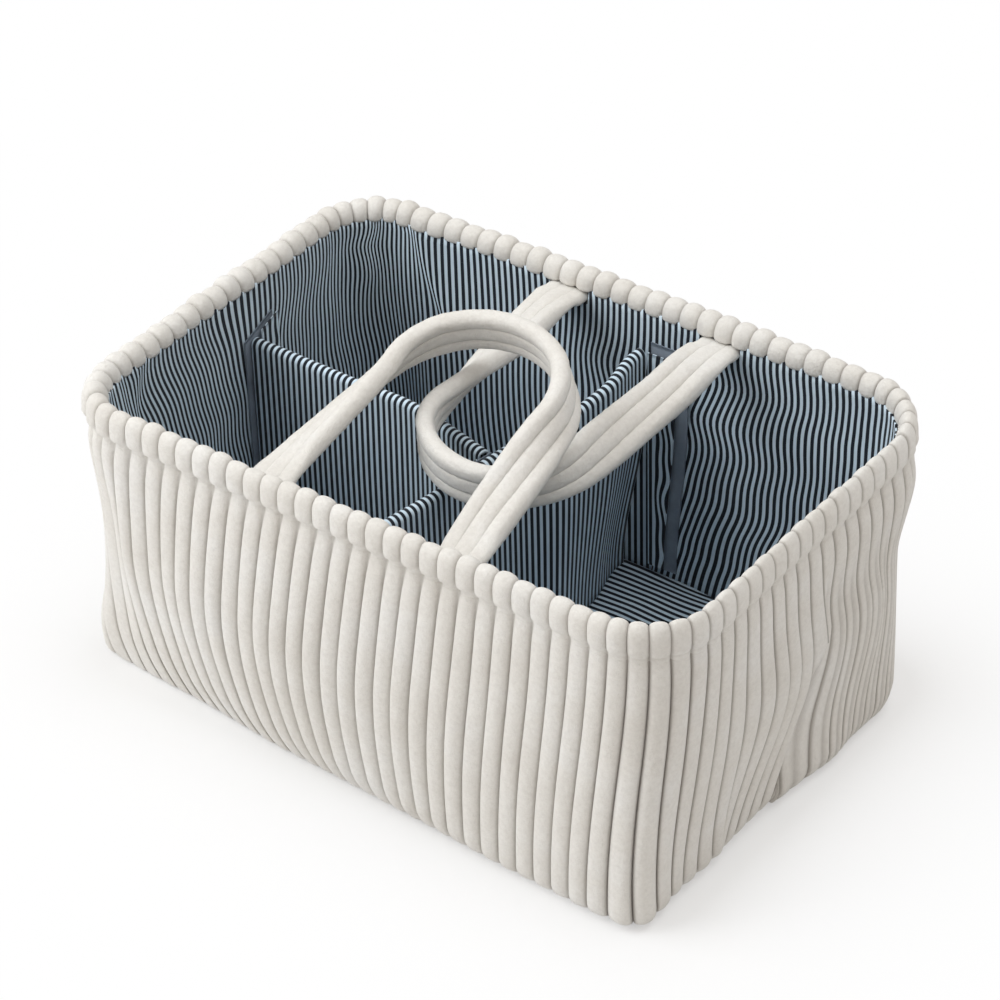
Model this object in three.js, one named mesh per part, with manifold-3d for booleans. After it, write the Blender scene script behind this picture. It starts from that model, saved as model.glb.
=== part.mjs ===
// Fabric storage basket: a padded, fluted plush box with a rolled hem, a striped
// lining, a removable T-shaped divider held by hook-and-loop flaps, and two padded
// strap handles. Millimetres, +X along the length, +Y from the front long wall to
// the back one, +Z up, origin at the middle of the base on the surface it stands on.

import * as THREE from "three";
import { mergeVertices } from "three/addons/utils/BufferGeometryUtils.js";
import Module from "manifold-3d";

const wasm = await Module();
wasm.setup();

// Overall size of the basket, measured over the ribs
const basketLength = 384;
const basketWidth = 251;
const wallHeight = 180;
const cornerRadius = 42;

// Fluted plush: upright ribs that run round all four walls
const ribCount = 108;
const ribDepth = 2.4;
const coverInset = 7.5;
const upperWallInset = 1.2;
const baseTuck = 6;
const baseTuckHeight = 5;
const baseRibShare = 0.6;
const bellyHeight = 47;

// Rolled hem folded over the top of the wall
const hemHeight = 23;
const hemPinch = 3.2;
const hemThickness = 15.5;
const hemInnerDrop = 9;
const hemRoof = 3;
const hemShoulderDrop = 7;
const hemCrestInset = 6.5;
const hemRoofInset = 14;
const hemSwell = 0.4;

// Layers of the wall and the base
const fit = 0.3;
const padThickness = 5;
const liningThickness = 1.2;
const baseCoverThickness = 2.6;
const baseBoardThickness = 3;

// Divider: a panel across the width and a bent panel that joins it from the left
const dividerThickness = 7;
const dividerFabric = 1.5;
const dividerDrop = 30;
const dividerBoardClearance = 2;
const crossFrontX = -10;
const crossBackX = 14;
const longLeftY = 15;
const longBend = { x: -60, y: 10 };
const junctionY = -6;
const longDipShare = 0.6;

// Hook-and-loop closures of the divider
const tapeThickness = 1;
const tapeBeyond = 5;
const tapeBottom = 12;
const tapeLead = 8;
const leftTapeLead = 14;
const flapLength = 22;
const flapFabric = 1.4;
const hookThickness = 0.8;
const hookGap = 0.2;
const hookMargin = 3;
const flapBottom = 14;
const wallFlapDrop = 4;
const junctionFlapDrop = 3;

// Handles: padded straps, three ribs wide, sewn under the hem at both ends
const strapWidth = 27;
const strapThickness = 11;
const strapGroove = 1.1;
const strapSkin = 1.8;
const fillClearance = 0.9;
const strapRootThickness = 6;
const strapSwellLength = 24;
const strapCrest = 0.72;
const coreGroove = 0.5;
const frontHandleX = -1;
const frontSpacing = 118;
const frontHalfWidth = 51;
const frontLeg = 84;
const frontCrown = 48;
const frontTwistStart = 45;
const frontTwistEnd = 110;
const frontLean = 75;
const backHandleX = 11;
const backSpacing = 98;
const backHalfWidth = 46;
const backLeg = 106;
const backCrown = 46;
const backTwistStart = 8;
const backTwistEnd = 90;
const backLean = 93;
const handleHemGap = 0.6;
const handleDrop = 13;
const handleRestGap = 0.5;
const endTabDepth = 18;
const endNoseHeight = 7;

// Counts of facets
const ribSteps = 3;
const cornerSteps = 6;
const legSteps = 8;
const crownSteps = 12;
const crossSteps = 8;
const longSteps = 5;

// Places that follow from the sizes above
const padOuter = coverInset + fit;
const padInner = padOuter + padThickness;
const liningOuter = padInner + fit;
const liningInner = liningOuter + liningThickness;
const boardBottom = baseCoverThickness + fit;
const boardTop = boardBottom + baseBoardThickness;
const layerBottom = boardTop + fit;
const floorTop = layerBottom + liningThickness;
const dividerTop = wallHeight - dividerDrop;
const wallFlapTop = dividerTop - wallFlapDrop;
const padTop = wallHeight - hemRoof - fit;
const liningTop = wallHeight - hemInnerDrop - fit;
const hemBottom = wallHeight - hemHeight;
const coverTop = hemBottom - fit;
const tapeInner = liningInner + fit + tapeThickness;
const flapStack = hookThickness + hookGap + flapFabric;
const flapHinge = tapeInner + fit + flapStack / 2;
const dividerHalf = dividerThickness / 2;
const hingeSide = dividerHalf + fit + flapStack / 2;
const dividerBottom = floorTop + fit;
const handleInset = hemThickness + strapThickness / 2 + handleHemGap;
const handleHeight = wallHeight - handleDrop;
const endFace = handleInset - strapRootThickness / 2 - fit;

// The back handle lies on the divider and presses its top edge down
const backDip = THREE.MathUtils.degToRad(backLean - 90);
const backReach = backLeg + backCrown;
const crownLow = handleHeight - backReach * Math.sin(backDip) - (strapWidth / 2) * Math.cos(backDip);
const pressedTop = Math.min(crownLow - handleRestGap, dividerTop);

const materials = {
  plush: material(0xe9e5dd, 0.95),
  lining: material(0x77828f, 0.8),
  tape: material(0x66707e, 0.85),
  hook: material(0x59626f, 0.7),
  foam: material(0xd8d8d4, 0.9),
  board: material(0xb9ad98, 0.85),
  webbing: material(0xdedad2, 0.9),
};

function material(color, roughness) {
  return new THREE.MeshStandardMaterial({ color, roughness, metalness: 0 });
}

function smooth(t) {
  const c = Math.min(Math.max(t, 0), 1);
  return c * c * (3 - 2 * c);
}

// Meshes from points and triangles
function closedGeometry(points, faces) {
  let volume = 0;
  for (const [a, b, c] of faces) {
    volume += points[a].dot(points[b].clone().cross(points[c]));
  }
  const index = volume > 0 ? faces.flat() : faces.flatMap(([a, b, c]) => [a, c, b]);
  const geometry = new THREE.BufferGeometry();
  const numbers = points.flatMap((p) => [p.x, p.y, p.z]);
  geometry.setAttribute("position", new THREE.Float32BufferAttribute(numbers, 3));
  geometry.setIndex(index);
  return geometry;
}

function strip(faces, a, b) {
  a.forEach((_, i) => {
    const j = (i + 1) % a.length;
    faces.push([a[i], a[j], b[i]], [a[j], b[j], b[i]]);
  });
}

// A loft through closed rings of points, capped at both ends or joined end to end
function loft(rings, capTriangles) {
  const points = rings.flat();
  const count = rings[0].length;
  const row = (r) => rings[0].map((_, i) => r * count + i);
  const faces = [];
  for (let r = 0; r + 1 < rings.length; r += 1) {
    strip(faces, row(r), row(r + 1));
  }
  if (capTriangles) {
    const last = (rings.length - 1) * count;
    capTriangles.forEach(([a, b, c]) => faces.push([a, c, b], [last + a, last + b, last + c]));
  } else {
    strip(faces, row(rings.length - 1), row(0));
  }
  return closedGeometry(points, faces);
}

function fan(count) {
  return Array.from({ length: count - 2 }, (_, i) => [0, i + 1, i + 2]);
}

// The basket's outline in plan: the point and outward normal at a distance along it,
// counterclockwise from the middle of the front wall
const straightX = basketLength - 2 * cornerRadius;
const straightY = basketWidth - 2 * cornerRadius;
const cornerArc = (Math.PI / 2) * cornerRadius;
const outlineLength = 2 * straightX + 2 * straightY + 4 * cornerArc;

function outline(distance) {
  const sides = [straightX, straightY, straightX, straightY];
  let rest = (distance + straightX / 2) % outlineLength;
  for (let side = 0; side < 4; side += 1) {
    const turn = (side * Math.PI) / 2;
    const along = new THREE.Vector2(Math.cos(turn), Math.sin(turn));
    const out = new THREE.Vector2(along.y, -along.x);
    const halfAlong = sides[side] / 2;
    const halfOut = sides[(side + 1) % 4] / 2;
    if (rest < sides[side]) {
      const straight = along.clone().multiplyScalar(rest - halfAlong);
      return { point: straight.addScaledVector(out, halfOut + cornerRadius), out };
    }
    rest -= sides[side];
    if (rest < cornerArc) {
      const angle = rest / cornerRadius;
      const normal = out.clone().multiplyScalar(Math.cos(angle)).addScaledVector(along, Math.sin(angle));
      const centre = along.clone().multiplyScalar(halfAlong).addScaledVector(out, halfOut);
      return { point: centre.addScaledVector(normal, cornerRadius), out: normal };
    }
    rest -= cornerArc;
  }
  return outline(0);
}

function outlinePoint(distance, inset, z) {
  const { point, out } = outline(distance);
  return new THREE.Vector3(point.x - out.x * inset, point.y - out.y * inset, z);
}

// A ring round the basket. Its outer rows [inset, z, rib share] are fluted, and its
// inner rows [inset, z] are plain, with one column for each rib.
function ribbedRing(outerRows, innerRows) {
  const pitch = outlineLength / ribCount;
  const valley = [1, 0, 0];
  const points = [];
  const rows = [];
  for (const [inset, z, share] of outerRows) {
    const row = [];
    for (let c = 0; c < ribCount * ribSteps; c += 1) {
      row.push(points.length);
      const depth = inset + ribDepth * share * valley[c % ribSteps];
      points.push(outlinePoint((c / ribSteps) * pitch, depth, z));
    }
    rows.push(row);
  }
  const plain = [];
  for (const [inset, z] of innerRows) {
    const row = [];
    for (let c = 0; c < ribCount; c += 1) {
      row.push(points.length);
      points.push(outlinePoint(c * pitch, inset, z));
    }
    plain.push(row);
  }
  const faces = [];
  rows.slice(1).forEach((row, r) => strip(faces, rows[r], row));
  plain.slice(1).forEach((row, r) => strip(faces, plain[r], row));
  stitch(faces, rows.at(-1), plain[0], false);
  stitch(faces, rows[0], plain.at(-1), true);
  return closedGeometry(points, faces);
}

// Triangles between a fluted border and a plain one
function stitch(faces, fine, coarse, flip) {
  const half = Math.floor(ribSteps / 2) + 1;
  coarse.forEach((start, rib) => {
    const next = coarse[(rib + 1) % coarse.length];
    const at = (j) => fine[(rib * ribSteps + j) % fine.length];
    const triangles = [[at(half), next, start]];
    for (let j = 0; j < ribSteps; j += 1) {
      triangles.push([at(j), at(j + 1), j < half ? start : next]);
    }
    triangles.forEach(([a, b, c]) => faces.push(flip ? [a, c, b] : [a, b, c]));
  });
}

// Plan shapes with the basket's rounded corners, drawn in by an inset
function planShape(inset, holeInset) {
  const shape = new THREE.Shape(planPoints(inset));
  if (holeInset !== undefined) {
    shape.holes.push(new THREE.Path(planPoints(holeInset)));
  }
  return shape;
}

function planPoints(inset) {
  const points = [];
  for (let corner = 0; corner < 4; corner += 1) {
    const start = straightX / 2 + corner * cornerArc + sideBefore(corner);
    for (let k = 0; k <= cornerSteps; k += 1) {
      const share = Math.min(k / cornerSteps, 1 - 1e-6);
      const place = outlinePoint(start + share * cornerArc, inset, 0);
      points.push(new THREE.Vector2(place.x, place.y));
    }
  }
  return points;
}

function sideBefore(corner) {
  return [0, straightY, straightY + straightX, 2 * straightY + straightX][corner];
}

function plate(inset, bottom, top, holeInset) {
  const geometry = new THREE.ExtrudeGeometry(planShape(inset, holeInset), {
    depth: top - bottom,
    bevelEnabled: false,
  });
  return geometry.translate(0, 0, bottom);
}

function block(low, high) {
  const geometry = new THREE.BoxGeometry(high.x - low.x, high.y - low.y, high.z - low.z);
  return geometry.translate((low.x + high.x) / 2, (low.y + high.y) / 2, (low.z + high.z) / 2);
}

// Boolean cuts
function toManifold(geometry) {
  const bare = geometry.clone();
  bare.deleteAttribute("normal");
  bare.deleteAttribute("uv");
  const merged = mergeVertices(bare, 1e-4);
  return new wasm.Manifold(
    new wasm.Mesh({
      numProp: 3,
      vertProperties: new Float32Array(merged.attributes.position.array),
      triVerts: new Uint32Array(merged.index.array),
    })
  );
}

function cut(geometry, cutters) {
  let body = toManifold(geometry);
  cutters.forEach((cutter) => {
    body = body.subtract(toManifold(cutter));
  });
  const mesh = body.getMesh();
  const result = new THREE.BufferGeometry();
  result.setAttribute("position", new THREE.Float32BufferAttribute(mesh.vertProperties, 3));
  result.setIndex(Array.from(mesh.triVerts));
  return result;
}

// Walls and base
const model = new THREE.Group();

function add(name, geometry, finish, parent = model) {
  const mesh = new THREE.Mesh(geometry, finish);
  mesh.name = name;
  parent.add(mesh);
  return mesh;
}

function outerCover() {
  return ribbedRing(
    [
      [baseTuck, 0, 0],
      [baseTuck / 4, baseTuckHeight, baseRibShare],
      [0, bellyHeight, 1],
      [upperWallInset, coverTop - hemHeight, 1],
      [hemPinch, coverTop, 1],
    ],
    [
      [coverInset, coverTop],
      [coverInset, 0],
    ]
  );
}

// The hem's ribs fade from its stitched lower edge, over the top, to its inner edge
function rimHem() {
  return ribbedRing(
    [
      [hemPinch, hemBottom, 1],
      [hemSwell, hemBottom + hemPinch, 0.9],
      [0, wallHeight - hemShoulderDrop, 0.8],
      [hemCrestInset, wallHeight, 0.6],
      [hemRoofInset, wallHeight - hemRoof, 0.5],
      [hemThickness, wallHeight - hemInnerDrop, 0],
    ],
    [
      [liningOuter, wallHeight - hemInnerDrop],
      [liningOuter, wallHeight - hemRoof],
      [coverInset, wallHeight - hemRoof],
      [coverInset, hemBottom],
    ]
  );
}

// The two handles: the front one is the wider, and the back one the longer
const frontHandle = {
  name: "front_handle",
  side: -1,
  x: frontHandleX,
  spacing: frontSpacing,
  halfWidth: frontHalfWidth,
  leg: frontLeg,
  crown: frontCrown,
  twistStart: frontTwistStart,
  twistEnd: frontTwistEnd,
  lean: frontLean,
};
const backHandle = {
  name: "back_handle",
  side: 1,
  x: backHandleX,
  spacing: backSpacing,
  halfWidth: backHalfWidth,
  leg: backLeg,
  crown: backCrown,
  twistStart: backTwistStart,
  twistEnd: backTwistEnd,
  lean: backLean,
};

// Their four sewn ends: where each sits and on which side
const handleEnds = [frontHandle, backHandle].flatMap(({ name, side, x, spacing }) => [
  { name: `${name}_left_end`, x: x - spacing / 2, side },
  { name: `${name}_right_end`, x: x + spacing / 2, side },
]);

// A block round a sewn end, between two insets from the long wall, for the end's notches
function endBlock(end, outerInset, innerInset, bottom, top, clearance) {
  const half = strapWidth / 2 + clearance;
  const ys = [outerInset, innerInset].map((inset) => end.side * (basketWidth / 2 - inset));
  return block(
    new THREE.Vector3(end.x - half, Math.min(...ys), bottom),
    new THREE.Vector3(end.x + half, Math.max(...ys), top)
  );
}

const noseTop = handleHeight + endNoseHeight / 2;
const noseBottom = handleHeight - endNoseHeight / 2;
const tabBottom = handleHeight - endTabDepth;
const tabOuter = padInner - strapRootThickness / 2;

function wallPad(side) {
  const half = straightX / 2;
  const ys = [padOuter, padInner].map((inset) => side * (basketWidth / 2 - inset));
  const pad = block(
    new THREE.Vector3(-half, Math.min(...ys), layerBottom),
    new THREE.Vector3(half, Math.max(...ys), padTop)
  );
  const notches = handleEnds
    .filter((end) => end.side === side)
    .map((end) => endBlock(end, tabOuter - fit, padInner + fit, tabBottom - fit, noseTop + fit, fit));
  return cut(pad, notches);
}

function endPad(side) {
  const half = straightY / 2;
  const xs = [padOuter, padInner].map((inset) => side * (basketLength / 2 - inset));
  return block(
    new THREE.Vector3(Math.min(...xs), -half, layerBottom),
    new THREE.Vector3(Math.max(...xs), half, padTop)
  );
}

function liningWalls() {
  const walls = plate(liningOuter, layerBottom, liningTop, liningInner);
  const notches = handleEnds.map((end) =>
    endBlock(end, padInner, liningInner + fit, noseBottom - fit, wallHeight, fit)
  );
  return cut(walls, notches);
}

add("outer_cover", outerCover(), materials.plush);
add("rim_hem", rimHem(), materials.plush);
add("base_cover", plate(coverInset + fit, 0, baseCoverThickness), materials.plush);
add("base_board", plate(coverInset + fit, boardBottom, boardTop), materials.board);
add("front_wall_pad", wallPad(-1), materials.foam);
add("back_wall_pad", wallPad(1), materials.foam);
add("left_wall_pad", endPad(-1), materials.foam);
add("right_wall_pad", endPad(1), materials.foam);
add("lining_walls", liningWalls(), materials.lining);
add("lining_base", plate(liningInner + fit, layerBottom, floorTop), materials.lining);

// Sewn handle ends: a flat tab behind the lining and a nose that comes out under the hem
function handleEnd(end) {
  const profile = new THREE.Shape([
    new THREE.Vector2(tabOuter, tabBottom),
    new THREE.Vector2(padInner, tabBottom),
    new THREE.Vector2(padInner, noseBottom),
    new THREE.Vector2(endFace, noseBottom),
    new THREE.Vector2(endFace, noseTop),
    new THREE.Vector2(tabOuter, noseTop),
  ]);
  const geometry = new THREE.ExtrudeGeometry(profile, { depth: strapWidth, bevelEnabled: false });
  const turn = new THREE.Matrix4().makeBasis(
    new THREE.Vector3(0, -end.side, 0),
    new THREE.Vector3(0, 0, 1),
    new THREE.Vector3(-end.side, 0, 0)
  );
  geometry.applyMatrix4(turn);
  const shift = end.x + (end.side * strapWidth) / 2;
  return geometry.translate(shift, (end.side * basketWidth) / 2, 0);
}

handleEnds.forEach((end) => add(end.name, handleEnd(end), materials.webbing));

// A handle's loop, as points across and along it from one hinge point to the other
function loopRoute({ spacing, halfWidth, leg, crown }) {
  const half = spacing / 2;
  const route = [];
  for (let k = 0; k < legSteps; k += 1) {
    const t = k / legSteps;
    route.push(new THREE.Vector2(half + (halfWidth - half) * t, leg * t));
  }
  for (let k = 0; k <= crownSteps; k += 1) {
    const angle = (Math.PI * k) / crownSteps;
    route.push(new THREE.Vector2(halfWidth * Math.cos(angle), leg + crown * Math.sin(angle)));
  }
  for (let k = legSteps - 1; k >= 0; k -= 1) {
    const t = k / legSteps;
    route.push(new THREE.Vector2(-half - (halfWidth - half) * t, leg * t));
  }
  return route;
}

// The strap's section: [across, through] with a groove between each pair of ribs
function strapSection(halfWidth, halfThickness, groove) {
  const third = halfWidth / 3;
  const top = [
    [strapCrest * halfWidth, halfThickness],
    [third, halfThickness - groove],
    [0, halfThickness],
    [-third, halfThickness - groove],
    [-strapCrest * halfWidth, halfThickness],
  ];
  const bottom = top.map(([w, t]) => [w, -t]).reverse();
  return [[halfWidth, 0], ...top, [-halfWidth, 0], ...bottom];
}

// Rings of the strap along the loop, in the loop's own frame: X across, Y along the
// loop away from the hinge, Z square to it. The strap lies flat at its sewn ends and
// turns on edge in the loop.
function strapRings(handle, shape, firstGap) {
  const route = loopRoute(handle);
  const lengths = [0];
  for (let k = 1; k < route.length; k += 1) {
    lengths.push(lengths[k - 1] + route[k].distanceTo(route[k - 1]));
  }
  const total = lengths.at(-1);
  const rings = [];
  const rootRadius = strapRootThickness / 2;
  route.forEach((place, k) => {
    const before = route[Math.max(k - 1, 0)];
    const after = route[Math.min(k + 1, route.length - 1)];
    const edge = k === 0 || k === route.length - 1;
    const along = edge ? new THREE.Vector2(0, k === 0 ? 1 : -1) : after.clone().sub(before).normalize();
    const out = new THREE.Vector2(along.y, -along.x);
    const fromRoot = Math.min(lengths[k], total - lengths[k]);
    const twist = smooth((fromRoot - handle.twistStart) / (handle.twistEnd - handle.twistStart));
    const turn = (twist * Math.PI) / 2;
    const swell = smooth(fromRoot / strapSwellLength);
    const half = rootRadius + (strapThickness / 2 - rootRadius) * swell;
    const ring = (shift, halfThickness) =>
      shape(halfThickness, swell).map(([w, t]) => {
        const across = w * Math.cos(turn) + t * Math.sin(turn);
        const through = t * Math.cos(turn) - w * Math.sin(turn);
        return new THREE.Vector3(place.x + out.x * across, place.y + shift + out.y * across, through);
      });
    if (!edge) {
      rings.push(ring(0, half));
      return;
    }
    const ends = rootEnds(rootRadius).map(([back, share]) => ring(firstGap - back, half * share));
    if (k === 0) {
      rings.push(...ends.reverse(), ring(firstGap, half));
    } else {
      rings.push(ring(firstGap, half), ...ends);
    }
  });
  return rings;
}

// The strap rounds off round its hinge line, so that it turns without touching its end
function rootEnds(radius) {
  return [30, 60].map((degrees) => {
    const angle = THREE.MathUtils.degToRad(degrees);
    return [radius * Math.sin(angle), Math.cos(angle)];
  });
}

// The strap's section drawn in by an amount
function strapInside(amount) {
  const share = 1 - (2 * amount) / strapThickness;
  const groove = strapGroove * coreGroove;
  return (half, swell) => strapSection(strapWidth / 2 - amount, half * share, groove * swell);
}

function handleCover(handle) {
  const outside = (half, swell) => strapSection(strapWidth / 2, half, strapGroove * swell);
  const outer = strapRings(handle, outside, 0);
  const inner = strapRings(handle, strapInside(strapSkin), 0);
  return loft([...outer, ...inner.reverse()]);
}

function handleCore(handle) {
  const core = strapRings(handle, strapInside(strapSkin + fillClearance), strapRootThickness / 2);
  const inside = core.slice(2, -2);
  return loft(inside, fan(inside[0].length));
}

function addHandle(handle) {
  const { name, side } = handle;
  const angle = THREE.MathUtils.degToRad(handle.lean);
  const along = new THREE.Vector3(0, -side * Math.sin(angle), Math.cos(angle));
  const across = new THREE.Vector3(1, 0, 0);
  const square = across.clone().cross(along);
  const loop = new THREE.Group();
  loop.quaternion.setFromRotationMatrix(new THREE.Matrix4().makeBasis(across, along, square));
  loop.position.set(handle.x, side * (basketWidth / 2 - handleInset), handleHeight);
  const turnOver = side > 0 ? -1 : 1;
  add(`${name}_cover`, mirrored(handleCover(handle), turnOver), materials.plush, loop);
  add(`${name}_core`, mirrored(handleCore(handle), turnOver), materials.webbing, loop);
  model.add(loop);
}

// The back handle's loop is the front one's mirror image through its own plane
function mirrored(geometry, turnOver) {
  if (turnOver > 0) {
    return geometry;
  }
  const position = geometry.attributes.position;
  for (let i = 0; i < position.count; i += 1) {
    position.setZ(i, -position.getZ(i));
  }
  const index = Array.from(geometry.index.array);
  for (let i = 0; i < index.length; i += 3) {
    [index[i + 1], index[i + 2]] = [index[i + 2], index[i + 1]];
  }
  geometry.setIndex(index);
  return geometry;
}

addHandle(frontHandle);
addHandle(backHandle);

// Divider panels
const crossFront = new THREE.Vector2(crossFrontX, -(basketWidth / 2 - flapHinge));
const crossBack = new THREE.Vector2(crossBackX, basketWidth / 2 - flapHinge);
const crossAlong = crossBack.clone().sub(crossFront).normalize();
const crossLeft = new THREE.Vector2(-crossAlong.y, crossAlong.x);
const junctionShare = (junctionY - crossFront.y) / (crossBack.y - crossFront.y);
const junctionFoot = crossFront.clone().lerp(crossBack, junctionShare);
const junctionHinge = dividerHalf + fit + tapeThickness + fit + flapStack / 2;
const longLeft = new THREE.Vector2(-(basketLength / 2 - flapHinge), longLeftY);
const bendPoint = new THREE.Vector2(longBend.x, longBend.y);
const approach = junctionFoot.clone().sub(bendPoint).normalize();
const junctionSkew = dividerHalf * Math.abs(approach.cross(crossLeft));
const longRight = junctionFoot.clone().addScaledVector(crossLeft, junctionHinge + junctionSkew);
const longEnd = longRight.clone().sub(bendPoint).normalize();

// A panel that follows a plan route, with one section at each of its places
function panel(route, section, capTriangles) {
  const rings = route.map((place, k) => {
    const before = route[Math.max(k - 1, 0)];
    const after = route[Math.min(k + 1, route.length - 1)];
    const along = after.clone().sub(before).normalize();
    return section(k / (route.length - 1)).map(
      ([v, z]) => new THREE.Vector3(place.x - along.y * v, place.y + along.x * v, z)
    );
  });
  return loft(rings, capTriangles);
}

// An upside-down U of fabric, open along the lower edge where the board slides in
function sleeve(route, topAt) {
  const outer = dividerHalf;
  const inner = dividerHalf - dividerFabric;
  const section = (t) => {
    const top = topAt(t);
    return [
      [-outer, dividerBottom],
      [-inner, dividerBottom],
      [-inner, top - dividerFabric],
      [inner, top - dividerFabric],
      [inner, dividerBottom],
      [outer, dividerBottom],
      [outer, top - dividerFabric],
      [inner, top],
      [-inner, top],
      [-outer, top - dividerFabric],
    ];
  };
  const contour = section(0).map(([v, z]) => new THREE.Vector2(v, z));
  return panel(route, section, THREE.ShapeUtils.triangulateShape(contour, []));
}

function stiffBoard(route, top) {
  const half = dividerHalf - dividerFabric - fit;
  const section = () => [
    [-half, dividerBottom],
    [half, dividerBottom],
    [half, top],
    [-half, top],
  ];
  return panel(route, section, fan(4));
}

function crossTop(t) {
  return dividerTop - (dividerTop - pressedTop) * (1 - (2 * t - 1) ** 4);
}

function longTop(t) {
  return dividerTop - (dividerTop - pressedTop) * smooth(t / longDipShare);
}

function straightRoute(from, to, steps) {
  return Array.from({ length: steps + 1 }, (_, k) => from.clone().lerp(to, k / steps));
}

const crossRoute = straightRoute(crossFront, crossBack, crossSteps);
const longRoute = [
  ...straightRoute(longLeft, bendPoint, longSteps - 1),
  ...straightRoute(bendPoint, longRight, 2).slice(1),
];
const dividerBoardTop = pressedTop - dividerFabric - fit;

function shortened(route) {
  const inward = (end, next) => end.clone().lerp(next, dividerBoardClearance / end.distanceTo(next));
  return [inward(route[0], route[1]), ...route.slice(1, -1), inward(route.at(-1), route.at(-2))];
}

add("cross_divider_cover", sleeve(crossRoute, crossTop), materials.lining);
add("cross_divider_board", stiffBoard(shortened(crossRoute), dividerBoardTop), materials.board);
add("long_divider_cover", sleeve(longRoute, longTop), materials.lining);
add("long_divider_board", stiffBoard(shortened(longRoute), dividerBoardTop), materials.board);

// Loop tapes and hinged flaps. Each closure has a frame at its hinge line, with X along
// the surface it closes on and Y away from that surface.
function closureFrame(hinge, along, away) {
  const frame = new THREE.Group();
  frame.position.set(hinge.x, hinge.y, 0);
  frame.rotation.z = Math.atan2(along.y, along.x);
  model.add(frame);
  return { frame, side: Math.sign(along.cross(away)) };
}

function addClosure(flapName, tapeName, hinge, along, away, flapTop, lead) {
  const { frame, side } = closureFrame(hinge, along, away);
  const layer = (low, high, from, to, bottom, top) =>
    block(
      new THREE.Vector3(from, Math.min(side * low, side * high), bottom),
      new THREE.Vector3(to, Math.max(side * low, side * high), top)
    );
  const half = flapStack / 2;
  const fabricLow = half - flapFabric;
  const tapeLow = -half - fit - tapeThickness;
  const tapeEnd = flapTop + hookMargin / 2;
  const fabric = layer(fabricLow, half, 0, flapLength, flapBottom, flapTop);
  add(`${flapName}_flap`, fabric, materials.lining, frame);
  const hook = layer(
    -half,
    -half + hookThickness,
    hookMargin,
    flapLength - hookMargin,
    flapBottom + hookMargin,
    flapTop - hookMargin
  );
  add(`${flapName}_hook`, hook, materials.hook, frame);
  const tape = layer(tapeLow, -half - fit, -lead, flapLength + tapeBeyond, tapeBottom, tapeEnd);
  add(tapeName, tape, materials.tape, frame);
}

const wallX = new THREE.Vector2(1, 0);
const wallY = new THREE.Vector2(0, 1);
const crossRight = crossLeft.clone().negate();
const longSide = new THREE.Vector2(-longEnd.y, longEnd.x);
const junctionStep = (hingeSide - junctionSkew * crossLeft.dot(longSide)) / crossAlong.dot(longSide);
const junctionCorner = junctionFoot
  .clone()
  .addScaledVector(crossLeft, junctionHinge)
  .addScaledVector(crossAlong, -junctionStep);

addClosure(
  "cross_back",
  "back_wall_tape",
  crossBack.clone().addScaledVector(wallX, hingeSide),
  wallX,
  wallY.clone().negate(),
  wallFlapTop,
  tapeLead
);
addClosure(
  "cross_front",
  "front_wall_tape",
  crossFront.clone().addScaledVector(wallX, hingeSide),
  wallX,
  wallY,
  wallFlapTop,
  tapeLead
);
addClosure(
  "long_left",
  "left_wall_tape",
  longLeft.clone().addScaledVector(wallY, hingeSide),
  wallY,
  wallX,
  wallFlapTop,
  leftTapeLead
);
addClosure(
  "long_right",
  "cross_divider_tape",
  junctionCorner,
  crossAlong.clone().negate(),
  crossLeft,
  pressedTop - junctionFlapDrop,
  tapeLead
);

export default model;
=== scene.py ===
import math

import bmesh
import bpy
import numpy as np
from mathutils import Matrix, Vector


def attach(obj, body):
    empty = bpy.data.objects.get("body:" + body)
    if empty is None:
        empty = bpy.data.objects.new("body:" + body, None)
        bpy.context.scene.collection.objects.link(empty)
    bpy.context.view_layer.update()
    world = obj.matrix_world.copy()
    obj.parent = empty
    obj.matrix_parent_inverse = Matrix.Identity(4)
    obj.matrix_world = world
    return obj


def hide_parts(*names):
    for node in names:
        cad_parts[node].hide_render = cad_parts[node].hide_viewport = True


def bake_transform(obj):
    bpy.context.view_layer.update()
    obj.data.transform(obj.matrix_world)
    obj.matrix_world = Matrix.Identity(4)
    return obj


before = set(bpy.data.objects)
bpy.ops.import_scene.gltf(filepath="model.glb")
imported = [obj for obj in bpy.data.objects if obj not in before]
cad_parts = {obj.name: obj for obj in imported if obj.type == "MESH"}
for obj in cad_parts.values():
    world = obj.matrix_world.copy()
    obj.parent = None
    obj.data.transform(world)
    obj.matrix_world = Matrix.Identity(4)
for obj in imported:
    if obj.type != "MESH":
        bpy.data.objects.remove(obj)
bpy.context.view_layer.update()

# Sizes in millimetres, repeated from the part's source
LENGTH = 384.0
WIDTH = 251.0
HEIGHT = 180.0
CORNER = 42.0
RIBS = 108
HEM_BOTTOM = 157.0
COVER_TOP = 158.6
HEM_THICK = 15.5
PAD_OUTER = 7.8
PAD_INNER = 12.8
LINING_OUTER = 13.1
LINING_INNER = 14.3
LAYER_BOTTOM = 6.2
FLOOR_TOP = 7.4
BOARD_BOTTOM = 2.9
BOARD_TOP = 5.9
BASE_COVER_TOP = 2.6
DIVIDER_HALF = 3.5
DIVIDER_BOTTOM = 7.7
PRESSED_TOP = 145.06
BACK_LEAN = 15.0
HANDLE_Y = 103.9
HANDLE_Z = 167.0
STRAP_WIDTH = 27.0
STRAP_THICK = 11.0
STRIPE_PITCH = 4.0

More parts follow.
